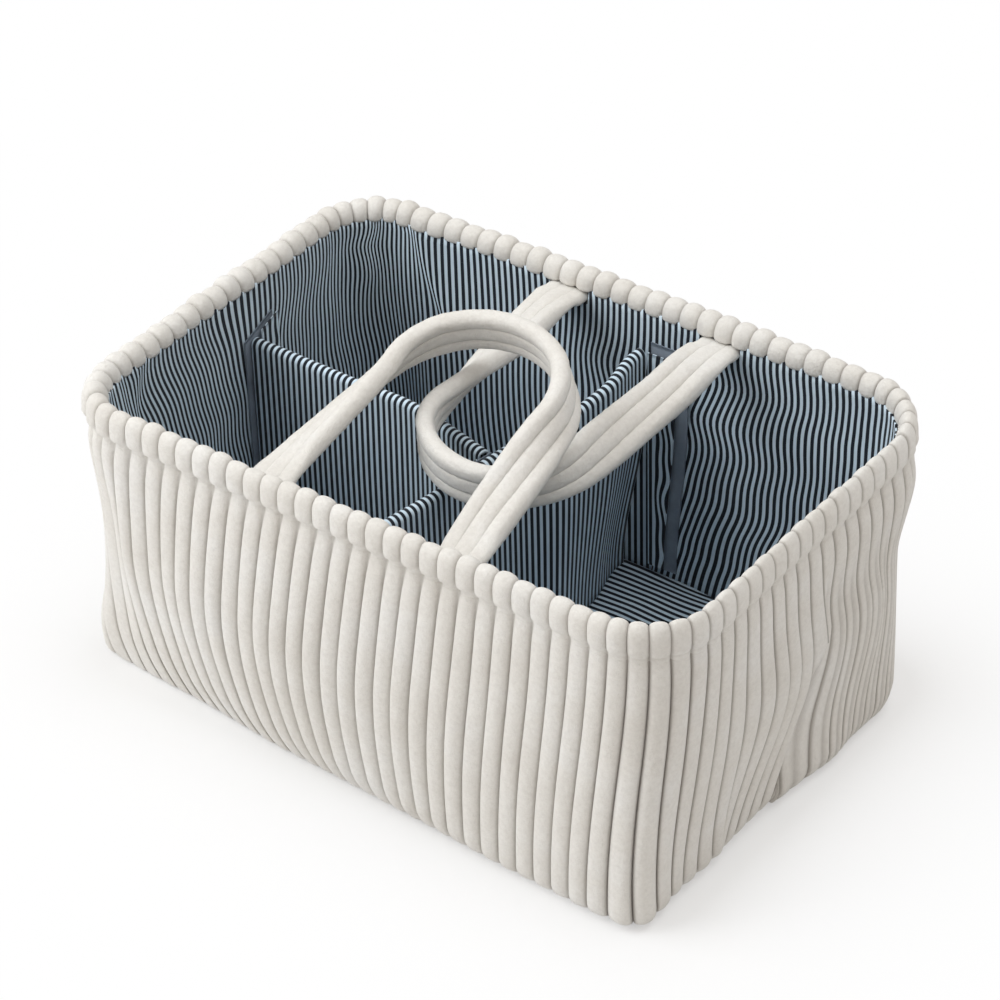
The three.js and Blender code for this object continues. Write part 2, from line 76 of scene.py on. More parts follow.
# Each handle's place and loop, its lean in degrees from upright, and the angle that the strap has
# turned from flat to on edge, at lengths from its right and its left root
FRONT_LOOP = {
    "side": -1, "x": -1.0, "spacing": 118.0, "half": 51.0, "leg": 84.0, "crown": 48.0, "skew": 0.0,
    "lean": 75.0, "root_rise": 0.0,
    "right_turn": ([0, 19, 36, 55, 76, 93, 110, 126], [2, 6, 12, 24, 44, 62, 79, 90]),
    "left_turn": ([0, 20, 60, 80, 98, 118], [6, 26, 43, 53, 73, 90]),
}
BACK_LOOP = {
    "side": 1, "x": 11.0, "spacing": 98.0, "half": 45.5, "leg": 106.0, "crown": 46.0, "skew": 4.5,
    "lean": 93.0, "root_rise": 2.6,
    "right_turn": ([0, 11, 32, 57, 83, 110, 138], [3, 8, 14, 22, 36, 62, 90]),
    "left_turn": ([0, 16, 50, 60, 80, 95, 115, 132], [3, 14, 27, 36, 50, 62, 80, 90]),
}

STRAIGHT_X = LENGTH - 2 * CORNER
STRAIGHT_Y = WIDTH - 2 * CORNER
ARC = math.pi / 2 * CORNER
AROUND = 2 * STRAIGHT_X + 2 * STRAIGHT_Y + 4 * ARC
PITCH = AROUND / RIBS

# Places along the outline, counterclockwise from the middle of the front wall
FRONT_RIGHT = STRAIGHT_X / 2
RIGHT_START = FRONT_RIGHT + ARC
RIGHT_END = RIGHT_START + STRAIGHT_Y
BACK_START = RIGHT_END + ARC
BACK_END = BACK_START + STRAIGHT_X
LEFT_START = BACK_END + ARC
LEFT_END = LEFT_START + STRAIGHT_Y


def right_at(y):
    return RIGHT_START + STRAIGHT_Y / 2 + y


def back_at(x):
    return BACK_START + STRAIGHT_X / 2 - x


def left_at(y):
    return LEFT_START + STRAIGHT_Y / 2 - y


def front_at(x):
    return x % AROUND


# Small mathematical helpers on arrays
def smooth(t):
    c = np.clip(t, 0.0, 1.0)
    return c * c * (3 - 2 * c)


def ramp(t, low, high):
    return smooth((t - low) / (high - low))


def window(t, low, high, edge):
    return ramp(t, low - edge, low) * (1 - ramp(t, high, high + edge))


def bump(t, centre, spread):
    return np.exp(-(((t - centre) / spread) ** 2))


def ring_bump(s, centre, spread):
    away = (s - centre + AROUND / 2) % AROUND - AROUND / 2
    return np.exp(-((away / spread) ** 2))


def ring_window(s, low, high, edge):
    middle = (low + high) / 2
    away = np.abs((s - middle + AROUND / 2) % AROUND - AROUND / 2)
    return 1 - ramp(away, (high - low) / 2, (high - low) / 2 + edge)


def ring_curve(s, knots):
    places = np.array([k[0] for k in knots]) % AROUND
    values = np.array([k[1] for k in knots], float)
    order = np.argsort(places)
    places = places[order]
    values = values[order]
    places = np.concatenate([places, places[:1] + AROUND])
    values = np.concatenate([values, values[:1]])
    around = (s - places[0]) % AROUND + places[0]
    k = np.clip(np.searchsorted(places, around, side="right") - 1, 0, len(places) - 2)
    t = (around - places[k]) / (places[k + 1] - places[k])
    return values[k] + (values[k + 1] - values[k]) * smooth(t)


def outline(s):
    s = np.asarray(s, float)
    rest = (s + STRAIGHT_X / 2) % AROUND
    sides = (STRAIGHT_X, STRAIGHT_Y, STRAIGHT_X, STRAIGHT_Y)
    point = np.zeros(s.shape + (2,))
    normal = np.zeros(s.shape + (2,))
    start = 0.0
    for side in range(4):
        turn = side * math.pi / 2
        along = np.array([math.cos(turn), math.sin(turn)])
        out = np.array([along[1], -along[0]])
        half_along = sides[side] / 2
        half_out = sides[(side + 1) % 4] / 2
        local = rest - start
        on = (local >= 0) & (local < sides[side])
        straight = (local - half_along)[..., None] * along + out * (half_out + CORNER)
        point = np.where(on[..., None], straight, point)
        normal = np.where(on[..., None], out, normal)
        local = local - sides[side]
        on = (local >= 0) & (local <= ARC + 1e-9)
        angle = (local / CORNER)[..., None]
        round_out = out * np.cos(angle) + along * np.sin(angle)
        corner = along * half_along + out * half_out + round_out * CORNER
        point = np.where(on[..., None], corner, point)
        normal = np.where(on[..., None], round_out, normal)
        start += sides[side] + ARC
    return point, normal


rng = np.random.default_rng(11)


def waves(count, low, high):
    return [
        (rng.integers(low, high), rng.uniform(0.0, 2 * math.pi), rng.uniform(0.6, 1.0))
        for _ in range(count)
    ]


SLOW_WAVES = waves(5, 3, 12)
FINE_WAVES = waves(7, 14, 40)


def ring_noise(s, z, parts, lean):
    total = np.zeros(np.broadcast(s, z).shape)
    for count, phase, size in parts:
        total = total + size * np.sin(2 * math.pi * count * s / AROUND + phase + z / lean)
    return total / len(parts)


# How the soft walls have settled, as moves of every layer of the wall
TWIST = math.radians(-3.5)
CREASE = 28 * PITCH
SINK = 8.5
FOLD_WIDTH = 14.0


# A table of values round the basket: on the walls by x or y, and at marked places
def table(front=(), right=(), back=(), left=(), marks=()):
    walls = ((front_at, front), (right_at, right), (back_at, back), (left_at, left))
    return [(at(where), value) for at, rows in walls for where, value in rows] + list(marks)


# How far the ribs have slid round the basket, at the base and at half height
BOTTOM_SLIDE = table(
    front=[(-150, 20), (-60, 15), (10, 7), (80, 2)],
    right=[(-62, 10), (-50, -3), (-38, -6), (12, -6), (30, 6), (66, 6)],
    back=[(110, 0), (0, 0)],
    marks=[(FRONT_RIGHT, 2), (RIGHT_START, 7), (BACK_END, 0), (LEFT_END, 14)],
)
MIDDLE_SLIDE = table(
    right=[(-64, 6), (-50, 12), (-38, 16), (10, 17), (26, 21), (60, 21)],
    back=[(100, 0)],
    marks=[(FRONT_RIGHT + ARC / 2, 0), (RIGHT_END, 12), (BACK_START, 4)],
)
# How far the walls bulge at half height
BELLY = table(
    front=[(-145, 1), (-95, 7.5), (-20, 8.5), (50, 5), (110, 2)],
    right=[(-30, 1), (60, 0)],
    back=[(0, 4)],
    left=[(60, 0), (0, -6), (-60, -9)],
    marks=[(FRONT_RIGHT + ARC / 2, 0), (BACK_START, 2), (BACK_END, 2), (LEFT_END + ARC * 0.7, -7)],
)
# The height to which the foot is tucked in, and how far the base reaches outwards
TUCK_HEIGHT = table(
    front=[(-150, 30), (-40, 26), (40, 16), (110, 8)],
    right=[(0, 12)],
    back=[(0, 18)],
    marks=[(RIGHT_START, 8), (BACK_START, 22), (LEFT_START, 24), (LEFT_END, 30)],
)
BASE_OUT = table(
    front=[(-140, 2), (-60, 4.5), (60, 3.5)],
    right=[(6, -10), (13, -4), (46, 1.5)],
    back=[(0, 0)],
    left=[(STRAIGHT_Y / 2, 0), (-STRAIGHT_Y / 2, 1)],
    marks=[(FRONT_RIGHT, 2), (RIGHT_START, -6), (RIGHT_END, 1), (BACK_START, 0)],
)
# How hard the stitches below the hem draw the plush in
NECK_DEPTH = table(
    front=[(-150, 1.0), (60, 1.0), (120, 0.6)],
    right=[(-60, 0.35), (-20, 0.6), (60, 0.8)],
    back=[(0, 1)],
    marks=[(FRONT_RIGHT + ARC / 2, 0.25), (BACK_START, 0.9), (LEFT_END, 1)],
)
# The hem's thickness and lift, how far the rim leans outwards, and how much its beads stand out
HEM_SIZE = table(
    front=[(-150, 0.88), (150, 0.88)],
    back=[(100, 1.0)],
    marks=[(RIGHT_START, 0.76), (RIGHT_END, 0.78), (BACK_START, 0.96), (LEFT_END, 1.0)],
)
HEM_LIFT = table(
    front=[(-150, -2.2), (150, -2.2)],
    back=[(100, 2.4)],
    left=[(STRAIGHT_Y / 2, 0.6), (-STRAIGHT_Y / 2, 0.0)],
    marks=[(RIGHT_START, -2.4), (RIGHT_END, -1.6), (BACK_START, 1.2), (BACK_END, 2.0)],
)
RIM_LEAN = table(
    front=[(-150, 0.4), (150, 0.0)],
    back=[(100, 3.8), (-100, 3.8)],
    left=[(STRAIGHT_Y / 2, 0.4), (-STRAIGHT_Y / 2, 0.8)],
    marks=[(RIGHT_START, 0), (RIGHT_END, 0.6), (BACK_START, 2.6), (BACK_END, 2.6), (LEFT_END + ARC / 2, 2.2)],
)
BEAD_RELIEF = table(
    front=[(-150, 1.0), (150, 0.95)],
    right=[(-40, 0.6)],
    back=[(100, 1.0)],
    marks=[(RIGHT_START, 0.75), (RIGHT_END, 0.62), (BACK_START, 0.85), (LEFT_END, 1.0)],
)
# How far the corners are squared off at the base: the radius left there
FOOT_RADIUS = [(FRONT_RIGHT, 14.0), (RIGHT_END, 34.0), (BACK_END, 30.0), (LEFT_END, 16.0)]
TUCK_DEPTH = 6.0


# A height's share of the wall below the hem
def height_share(z):
    return np.clip(z / HEM_BOTTOM, 0, 1)


def free_slide(s, z):
    low = np.clip(1 - z / 88, 0, None) ** 1.7
    front_left = ring_window(s, front_at(-150) - AROUND, 30, 60)
    sway = -2.5 * front_left * np.sin(math.pi * height_share(z))
    return ring_curve(s, BOTTOM_SLIDE) * low + ring_curve(s, MIDDLE_SLIDE) * bump(z, 76, 42) + sway


# The right wall folds over itself: the place of the fold's ridge at each height
RIDGE_HEIGHTS = [0, 6, 35, 59, 72, 89, 100]
RIDGE_PLACES = [-2, -1.5, 0, 9, 17, 27, 46]


def ridge_at(z):
    return right_at(np.interp(z, RIDGE_HEIGHTS, RIDGE_PLACES))


# How far a place would lie past the ridge, for the ribs that are tucked in behind it
def tucked(s, z):
    s = s % AROUND
    over = np.clip(s + free_slide(s, z) - ridge_at(z), 0, None)
    return np.where((s > RIGHT_START) & (s <= CREASE), over, 0.0)


def rib_slide(s, z):
    around = s % AROUND
    slide = free_slide(around, z) - tucked(around, z)
    edge = CREASE + free_slide(CREASE, z)
    edge = np.minimum(edge, ridge_at(z))
    beyond = np.clip((around - CREASE) / FOLD_WIDTH, 0, 1)
    far = CREASE + FOLD_WIDTH
    target = far + free_slide(far, z)
    bridged = edge + (target - edge) * beyond - around
    return np.where((beyond > 0) & (beyond < 1), bridged, slide)


# A corner's arc pushed out towards a tighter one, least at the rim
def foot_push(place, z):
    total = np.zeros(np.broadcast(place, z).shape)
    fade = np.clip(1 - z / HEM_BOTTOM, 0, 1) ** 0.8
    for start, radius in FOOT_RADIUS:
        local = (place - start) % AROUND
        inside = local < ARC
        angle = np.where(inside, local, 0) / CORNER
        angle = np.clip(np.minimum(angle, math.pi / 2 - angle), 0, None)
        shift = CORNER - radius
        flat = CORNER / np.cos(angle)
        both = np.cos(angle) + np.sin(angle)
        rounded = shift * both + np.sqrt(np.clip(shift**2 * both**2 - 2 * shift**2 + radius**2, 0, None))
        reach = np.where(CORNER * np.tan(angle) < shift, flat, rounded)
        total = total + np.where(inside, (reach - CORNER) * fade, 0)
    return total


def outer_push(s, z):
    rise = height_share(z)
    belly = ring_curve(s, BELLY) * np.sin(math.pi * rise) ** 1.2
    tuck = -TUCK_DEPTH * np.clip(1 - z / ring_curve(s, TUCK_HEIGHT), 0, None) ** 2
    base = ring_curve(s, BASE_OUT) * (1 - rise) ** 1.4
    around = s % AROUND
    tuck_in = 1 - np.exp(-tucked(around, z) / 3.0)
    end_tuck = 1 - np.exp(-tucked(CREASE, z) / 3.0)
    step = end_tuck + (1 - end_tuck) * ramp(around - CREASE, 0, 4)
    sunk = np.where(around > CREASE, step, tuck_in) * (1 - ramp(around, BACK_START, BACK_START + 110))
    at_fold = 1 - ramp(around, CREASE + 10, CREASE + 50)
    recess = -SINK * sunk * (1 - ramp(z, 92, 145)) * (1 - 0.65 * at_fold * (1 - ramp(z, 0, 46)))
    ripple = 0.7 * ring_noise(s, z, FINE_WAVES, 22) * np.sin(math.pi * rise)
    return belly + tuck + base + recess + ripple


def rim_sway(s, z):
    return 0.9 * ring_noise(s, 0.0, SLOW_WAVES, 50) + ring_curve(s, RIM_LEAN) * ramp(z, 96, 172)


# The tapes and the divider's ends sit on the lining, so it stays in place there
def held_flat(s):
    return np.maximum.reduce([
        ring_window(s, back_at(62), back_at(-6), 26),
        ring_window(s, front_at(-34) - AROUND, 42, 30),
        ring_window(s, left_at(62), left_at(-10), 26),
    ])


def lining_push(s, z):
    rise = height_share(z)
    follow = ring_curve(s, BASE_OUT) * (1 - rise) ** 1.4
    low = -3.0 * ring_window(s, RIGHT_START, RIGHT_END, 30) * (1 - rise)
    under_hem = (1 - ring_curve(s, HEM_SIZE)) * HEM_THICK * ramp(z, 132, 166)
    return (1 - held_flat(s)) * (follow + low) + under_hem


# Points of the wall by place, depth and height: the plush moves fully, and the lining less
def wall_points(s, inset, z, slide=0.0, wrinkle=0.0):
    s, inset, z, slide, wrinkle = np.broadcast_arrays(s, inset, z, slide, wrinkle)
    share = np.clip(inset / LINING_INNER, 0, 1)
    place = s + (1 - share) * rib_slide(s, z) + share * slide
    point, out = outline(place)
    outer = outer_push(s, z) + foot_push(place, z)
    push = (1 - share) * outer + share * (lining_push(s, z) - wrinkle) + rim_sway(s, z)
    xy = point + out * (push - inset)[..., None]
    twist = TWIST * (1 - smooth(z / HEM_BOTTOM))
    turn = twist * (1 - share + share * 0.7 * (1 - held_flat(s)))
    x = xy[..., 0] * np.cos(turn) - xy[..., 1] * np.sin(turn)
    y = xy[..., 0] * np.sin(turn) + xy[..., 1] * np.cos(turn)
    return np.stack([x, y, z], axis=-1)


def add_object(name, data):
    obj = bpy.data.objects.new(name, data)
    bpy.context.scene.collection.objects.link(obj)
    return obj


# A mesh from points in millimetres, its faces turned outwards; ends are faces with more corners
def make_mesh(name, points, faces, ends=()):
    mesh = bpy.data.meshes.new(name)
    mesh.from_pydata((np.asarray(points) / 1000.0).tolist(), [], np.asarray(faces).tolist() + list(ends))
    mesh.update()
    mesh.shade_smooth()
    measured = bmesh.new()
    measured.from_mesh(mesh)
    if measured.calc_volume(signed=True) < 0:
        mesh.flip_normals()
    measured.free()
    return add_object(name, mesh)


def grid_faces(rows, columns, wrap_rows, wrap_columns):
    r = np.arange(rows if wrap_rows else rows - 1)
    c = np.arange(columns if wrap_columns else columns - 1)
    rr, cc = np.meshgrid(r, c, indexing="ij")
    r2 = (rr + 1) % rows
    c2 = (cc + 1) % columns
    quads = [rr * columns + cc, rr * columns + c2, r2 * columns + c2, r2 * columns + cc]
    return np.stack(quads, axis=-1).reshape(-1, 4)


# Rings of equally many points joined to a closed loop, or to a tube with a face at each end
def make_loop(name, rings):
    return make_mesh(name, np.concatenate(rings), grid_faces(len(rings), len(rings[0]), True, True))


def make_tube(name, rings):
    count = len(rings[0])
    ends = [list(range(count))[::-1], [(len(rings) - 1) * count + i for i in range(count)]]
    return make_mesh(name, np.concatenate(rings), grid_faces(len(rings), count, False, True), ends)


def set_attribute(obj, name, values, domain="POINT"):
    attribute = obj.data.attributes.new(name, "FLOAT", domain)
    attribute.data.foreach_set("value", np.asarray(values, np.float32).ravel())


# Ring-shaped walls: rows of points round the basket, joined from the last to the first
RIB_COLUMNS = 14
RIB_PHASE = (1 - np.cos(math.pi * np.arange(RIB_COLUMNS) / RIB_COLUMNS)) / 2
RIB_S = ((np.arange(RIBS)[:, None] + RIB_PHASE[None, :]) * PITCH).ravel()
RIB_U = np.tile(RIB_PHASE, RIBS)
RIB_INDEX = np.repeat(np.arange(RIBS), RIB_COLUMNS)
RIB_SWELL = rng.uniform(-0.35, 0.35, RIBS)[RIB_INDEX]
BEAD_LIFT = rng.uniform(-0.8, 0.8, RIBS)[RIB_INDEX]
BEAD_SWELL = rng.uniform(-0.35, 0.35, RIBS)[RIB_INDEX]
RIB_DEPTH = 2.9
RIB_POWER = 2.2
NECK_INSET = 3.1
VALLEY_HALF = 0.075
PLEAT_HALF = 0.13


# A rib's height from its valleys, 0, to its middle, 1; narrowed where stitches draw it in
def rib_height(u, power, narrow=0.0):
    away = np.clip(np.abs(2 * u - 1) / (1 - narrow), 0, 1)
    return np.sqrt(np.clip(1 - away**power, 0, 1))


# How much the stitches below the hem draw the plush in, at a height
def neck_share(z):
    below = np.interp(z, [126, 138, 146, 151, 154.5, 157], [0, 0.06, 0.22, 0.48, 0.80, 1.0])
    above = np.interp(z, [157, 159, 160.6, 162.4, 164.6, 168], [1.0, 0.98, 0.74, 0.38, 0.10, 0.0])
    return np.where(z < HEM_BOTTOM, below, above)


# Painted shade in the valleys between the ribs, darkest on the right wall
def rib_valley_shade(s):
    depth = 0.45 + 0.55 * ring_window(s, FRONT_RIGHT + ARC / 2, BACK_START, 40)
    beside = np.minimum(RIB_U, 1 - RIB_U)
    return depth * np.exp(-(beside / VALLEY_HALF) ** 2)


# Right of the fold the plush is bunched, so that each rib has a pleat along its middle
def pleat_share(s, z):
    region = ring_window(s, CREASE + 6, BACK_START, 12)
    return region * (1 - ramp(z, 88, 140)) * np.exp(-((RIB_U - 0.5) / PLEAT_HALF) ** 2)


# Painted shade: a dark line where the ribs go in behind the fold
def fold_shade_line(s, z):
    depth = tucked(s, z)
    return np.where(depth > 0.05, np.exp(-((depth - 1.0) / 1.6) ** 2), 0.0) * (1 - ramp(z, 80, 104))


# The cover's rows, each a height, an inset and a depth of the ribs, then the inside's insets and heights
FOOT_ROWS = [(0.0, 3.6, 0.8), (0.3, 2.2, 1.5), (1.2, 1.0, 2.2), (2.6, 0.3, 2.6)]
WALL_HEIGHTS = np.concatenate([[4.6, 8.0], np.linspace(12, 132, 26), np.linspace(136, 155, 9), [156.3, 157]])
TOP_ROWS = [(157.8, 0.7, RIB_DEPTH), (COVER_TOP, 2.2, RIB_DEPTH)]
COVER_INSIDE = [(8.4, COVER_TOP), (7.4, 146), (6.6, 130), (6.4, 78), (6.4, 44), (6.4, 12), (7.4, 0)]


def outer_cover():
    s = RIB_S
    neck = ring_curve(s, NECK_DEPTH)
    groove = rib_valley_shade(s)
    painted_shade = []
    rings = []
    for z, inset, depth in FOOT_ROWS + [(z, 0.0, RIB_DEPTH) for z in WALL_HEIGHTS] + TOP_ROWS:
        drawn = neck_share(z) * neck
        low_relief = 1 - 0.25 * ring_window(s, CREASE + 4, BACK_START, 10) * (1 - ramp(z, 90, 140))
        flat = np.exp(-tucked(s, z) / 1.5)
        height = rib_height(RIB_U, RIB_POWER, 0.25 * drawn)
        valley = depth * low_relief * (1 - 0.22 * drawn)
        swell = RIB_SWELL * height * math.sin(math.pi * z / HEM_BOTTOM)
        crown = valley * (1 - height) * flat
        pleat = pleat_share(s, z)
        rings.append(wall_points(s, inset + NECK_INSET * drawn + crown - swell + 1.1 * pleat, z))
        # Painted shade: the plush is darker in the rib valleys, along the middle of each pleat and on the
        # fold's line
        painted_shade.append(np.maximum(groove * flat, np.maximum(0.5 * pleat, 0.75 * fold_shade_line(s, z))))
    for inset, z in COVER_INSIDE:
        rings.append(wall_points(s, inset, z))
        painted_shade.append(groove)
    obj = make_loop("outer_cover_plush", rings)
    # The groove attribute carries this painted shade to the plush's colour
    set_attribute(obj, "groove", np.concatenate(painted_shade))
    return obj


# The rolled hem: every rib goes over the rim as a rounded bead
HEM_HALF = HEM_THICK / 2
HEM_CENTRE = 171.0
HEM_ROUND = 9.0
SEAM_Z = 160.2
HEM_ANGLES = np.radians(np.concatenate([np.linspace(0, 150, 17), [160, 169, 177, 184, 191]]))
HEM_ROWS = [(0.0, z) for z in (156.8, 157.6, 158.4, 159.4, 160.2, 161.0, 162.0, 163.4, 165.4, 168.0)]
HEM_ROWS += [(HEM_HALF * (1 - math.cos(a)), HEM_CENTRE + HEM_ROUND * math.sin(a)) for a in HEM_ANGLES]
HEM_INSIDE = [(12.4, 170.9), (11.3, 172.6), (9.8, 173.6), (7.9, 172.8), (6.9, 168), (6.9, 160), (7.6, 157)]


def rim_hem():
    s = RIB_S
    neck = ring_curve(s, NECK_DEPTH)
    size = ring_curve(s, HEM_SIZE)
    lift = ring_curve(s, HEM_LIFT)
    relief = ring_curve(s, BEAD_RELIEF)
    seam = 0.6 * ring_window(s, front_at(96), right_at(-30), 40)
    along = np.gradient(np.array(HEM_ROWS), axis=0)
    along /= np.linalg.norm(along, axis=1)[:, None]
    rings = []
    # The section's inward normal is its direction (forward, up) turned by a right angle
    for (inset, z), (forward, up) in zip(HEM_ROWS, along):
        outside = inset < HEM_HALF
        drawn = neck_share(z) * neck if outside else 0.0 * neck
        rise = ramp(z, 157, 168) if outside else 1.0
        height = rib_height(RIB_U, RIB_POWER - 0.15 * rise, 0.25 * drawn)
        depth = RIB_DEPTH * (1 - 0.22 * drawn) * (1 + (relief - 1) * rise)
        crown = depth * (1 - height) - BEAD_SWELL * height * rise
        lifted = lift * rise + BEAD_LIFT * height * ramp(z, 168, 178)
        stitched = seam * math.exp(-((z - SEAM_Z) / 0.7) ** 2) if inset < 1 else 0.0
        stitched = stitched - 0.9 * neck * height * math.exp(-((z - 164) / 3.6) ** 2)
        buried = 0.25 if z < HEM_BOTTOM else 0.0
        row_inset = inset * (1 + (size - 1) * rise) + NECK_INSET * drawn + crown * up + stitched + buried
        rings.append(wall_points(s, row_inset, z - crown * forward + lifted))
    for inset, z in HEM_INSIDE:
        rings.append(wall_points(s, inset * size, z))
    obj = make_loop("rim_hem_plush", rings)
    # Painted shade in the valleys between the beads, weaker than on the cover
    set_attribute(obj, "groove", np.tile(0.6 * rib_valley_shade(s), len(rings)))
    return obj


# A crease that runs aslant down the lining of the back wall
def back_crease(z):
    return back_at(-131 + (145 - z) * 0.38)


# The lining's slack: folds that pull the stripes sideways and lift the cloth
def lining_slide(s, z):
    total = np.zeros(np.broadcast(s, z).shape)
    right_part = ring_window(s, back_at(162), back_at(44), 26)
    total += right_part * 25.0 * (1 - ramp(z, -16, 104))
    pull = 0.3 * bump(z, 92, 17) + 0.8 * bump(z, 120, 10) - 0.7 * bump(z, 146, 9) + 0.6 * bump(z, 58, 12)
    total += right_part * (1.6 + 1.8 * ring_bump(s, back_at(52), 34)) * pull
    total += right_part * 0.9 * np.sin(z / 6.6 + s / 26.0) * window(z, 40, 156, 20)
    total += ring_bump(s, back_at(-8), 22) * 3.2 * (bump(z, 132, 12) - bump(z, 108, 16))
    before_tape = ring_window(s, left_at(-6), left_at(-90), 26)
    behind_tape = ring_window(s, BACK_END + ARC * 0.55, left_at(36), 26)
    total += before_tape * (13.0 * ramp(z, 96, 182) - 5.0 * (1 - ramp(z, 40, 96)))
    total -= behind_tape * 7.0 * ramp(z, 112, 168)
    total += (before_tape + behind_tape) * 0.6 * np.sin(z / 6.4 + s / 34.0)
    total += ring_window(s, back_at(-30), back_at(-165), 30) * 1.4 * np.sin(z / 20.0 + s / 40.0)
    crease = back_crease(z)
    total -= 2.8 * np.tanh((s - crease) / 6.0) * ring_bump(s, crease, 22) * window(z, 118, 166, 16)
    corner = ring_bump(s, BACK_END + ARC * 0.55, 20)
    total += corner * 3.0 * (bump(z, 156, 7) - 0.8 * bump(z, 138, 10))
    crease = LEFT_END - 16 + (150 - z) * 0.5
    total -= 3.4 * np.tanh((s - crease) / 6.5) * ring_bump(s, crease, 24) * window(z, 116, 160, 20)
    return total


def lining_wrinkle(s, z):
    free = 1 - held_flat(s)
    long_folds = 1.0 * ring_noise(s, z, FINE_WAVES, 16) + 0.8 * ring_noise(s, -z, SLOW_WAVES, 30)
    corner = 3.0 * ring_bump(s, BACK_END + ARC * 0.5, 11) * bump(z, 146, 24)
    near = 2.4 * ring_bump(s, LEFT_END + 6, 14) * bump(z, 140, 36)
    crease = 2.2 * ring_bump(s, back_crease(z), 6) * bump(z, 142, 30)
    ridge = 2.6 * ring_bump(s, back_at(58 + (z - 90) * 0.25), 8) * bump(z, 92, 34)
    ends = np.sin(math.pi * np.clip((z - 6) / 162, 0, 1)) ** 0.6
    return free * ends * np.clip(long_folds + corner + near + crease + ridge, -1.2, 5.0)


# The cloth's length up to a place: more on the left wall and in the back left corner, where it is
# gathered, and less round the corners' inside
def lining_length(s):
    s = np.asarray(s, float)
    total = s + 0.26 * np.clip(s - LEFT_START, 0, STRAIGHT_Y) + 0.42 * np.clip(s - BACK_END + 12, 0, ARC + 12)
    share = (CORNER - LINING_INNER) / CORNER
    for start in (FRONT_RIGHT, RIGHT_END, BACK_END, LEFT_END):
        total = total - np.clip(s - start, 0, ARC) * (1 - share)
    return total


# The lining and the pads are cut down where the straps go through to the wall
def strap_notch(s):
    spans = []
    for loop in (FRONT_LOOP, BACK_LOOP):
        at = front_at if loop["side"] < 0 else back_at
        for way in (-1, 1):
            middle = at(loop["x"] + way * loop["spacing"] / 2)
            spans.append(ring_window(s, middle - 11.5, middle + 11.5, 1.5))
    return np.maximum.reduce(spans)


def lining_walls():
    count = 8 * RIBS
    s = np.arange(count) * AROUND / count
    heights = np.concatenate([[6.3], np.linspace(10, 158, 50), [163.0, 167.0, 173.0]])
    scallop = 1 - rib_height((s / PITCH) % 1.0, 2.05)
    lift = ring_curve(s, HEM_LIFT)
    top = np.minimum(169.9 + lift + 1.2 * scallop, 173.0 - strap_notch(s) * 9.5)
    rings = []
    for inset, order in ((LINING_INNER, heights), (LINING_OUTER, heights[::-1])):
        for z in order:
            level = np.minimum(z, top)
            rings.append(wall_points(s, inset, level, lining_slide(s, level), lining_wrinkle(s, level)))
    obj = make_loop("lining_walls_cloth", rings)
    # Where the cloth's two ends meet, the faces run on to its full length and not back to 0
    corners = np.empty(len(obj.data.loops), np.int32)
    obj.data.loops.foreach_get("vertex_index", corners)
    column = corners.reshape(-1, 4) % count
    stripe = lining_length(s)[column]
    last = (column == count - 1).any(axis=1) & (column == 0).any(axis=1)
    stripe[last] = np.where(column[last] == 0, lining_length(AROUND), stripe[last])
    set_attribute(obj, "stripe", stripe, "CORNER")
    return obj


MIDDLE_SHARE = 0.9992


# A flat layer of the base, its two faces made of rings that shrink towards a line in the middle
def base_layer(name, inset, bottom, top, relief, count, steps):
    s = np.arange(count) * AROUND / count
    edge = wall_points(s, inset, np.full(count, bottom))[:, :2]
    spine_x = np.clip(edge[:, 0], -(LENGTH - WIDTH) / 2, (LENGTH - WIDTH) / 2)
    spine = np.stack([spine_x, np.zeros(count)], axis=1)
    shares = 1 - np.linspace(0, MIDDLE_SHARE, steps)
    rings = []
    for side, level, order in (("top", top, shares), ("bottom", bottom, shares[::-1])):
        for share in order:
            xy = spine + (edge - spine) * share
            z = np.full(count, float(level))
            if side in relief:
                z = z + relief[side](xy[:, 0], xy[:, 1])
            rings.append(np.column_stack([xy, z]))
    return make_loop(name, rings), np.concatenate(rings)


# The floor's cloth is slack away from the divider and the walls
def floor_shape(x, y):
    away = np.abs(x - (-10 + 24 * (y + 108) / 217)) - 8
    near_long = np.where(x < 4, np.abs(y - 12) - 12, 60)
    free = ramp(np.minimum(away, near_long), 0, 18)
    edge = ramp(177 - np.abs(x), 0, 14) * ramp(111 - np.abs(y), 0, 14)
    folds = 0.9 * np.sin(x / 17 + y / 31) + 0.7 * np.sin(y / 13 - x / 40 + 1.3)
    return 0.9 * free * edge * (1 + folds)


def base_ribs(x, y):
    return 0.8 * (1 - rib_height((y / PITCH) % 1.0, 2.4)) * ramp(186 - np.abs(x), 0, 4)


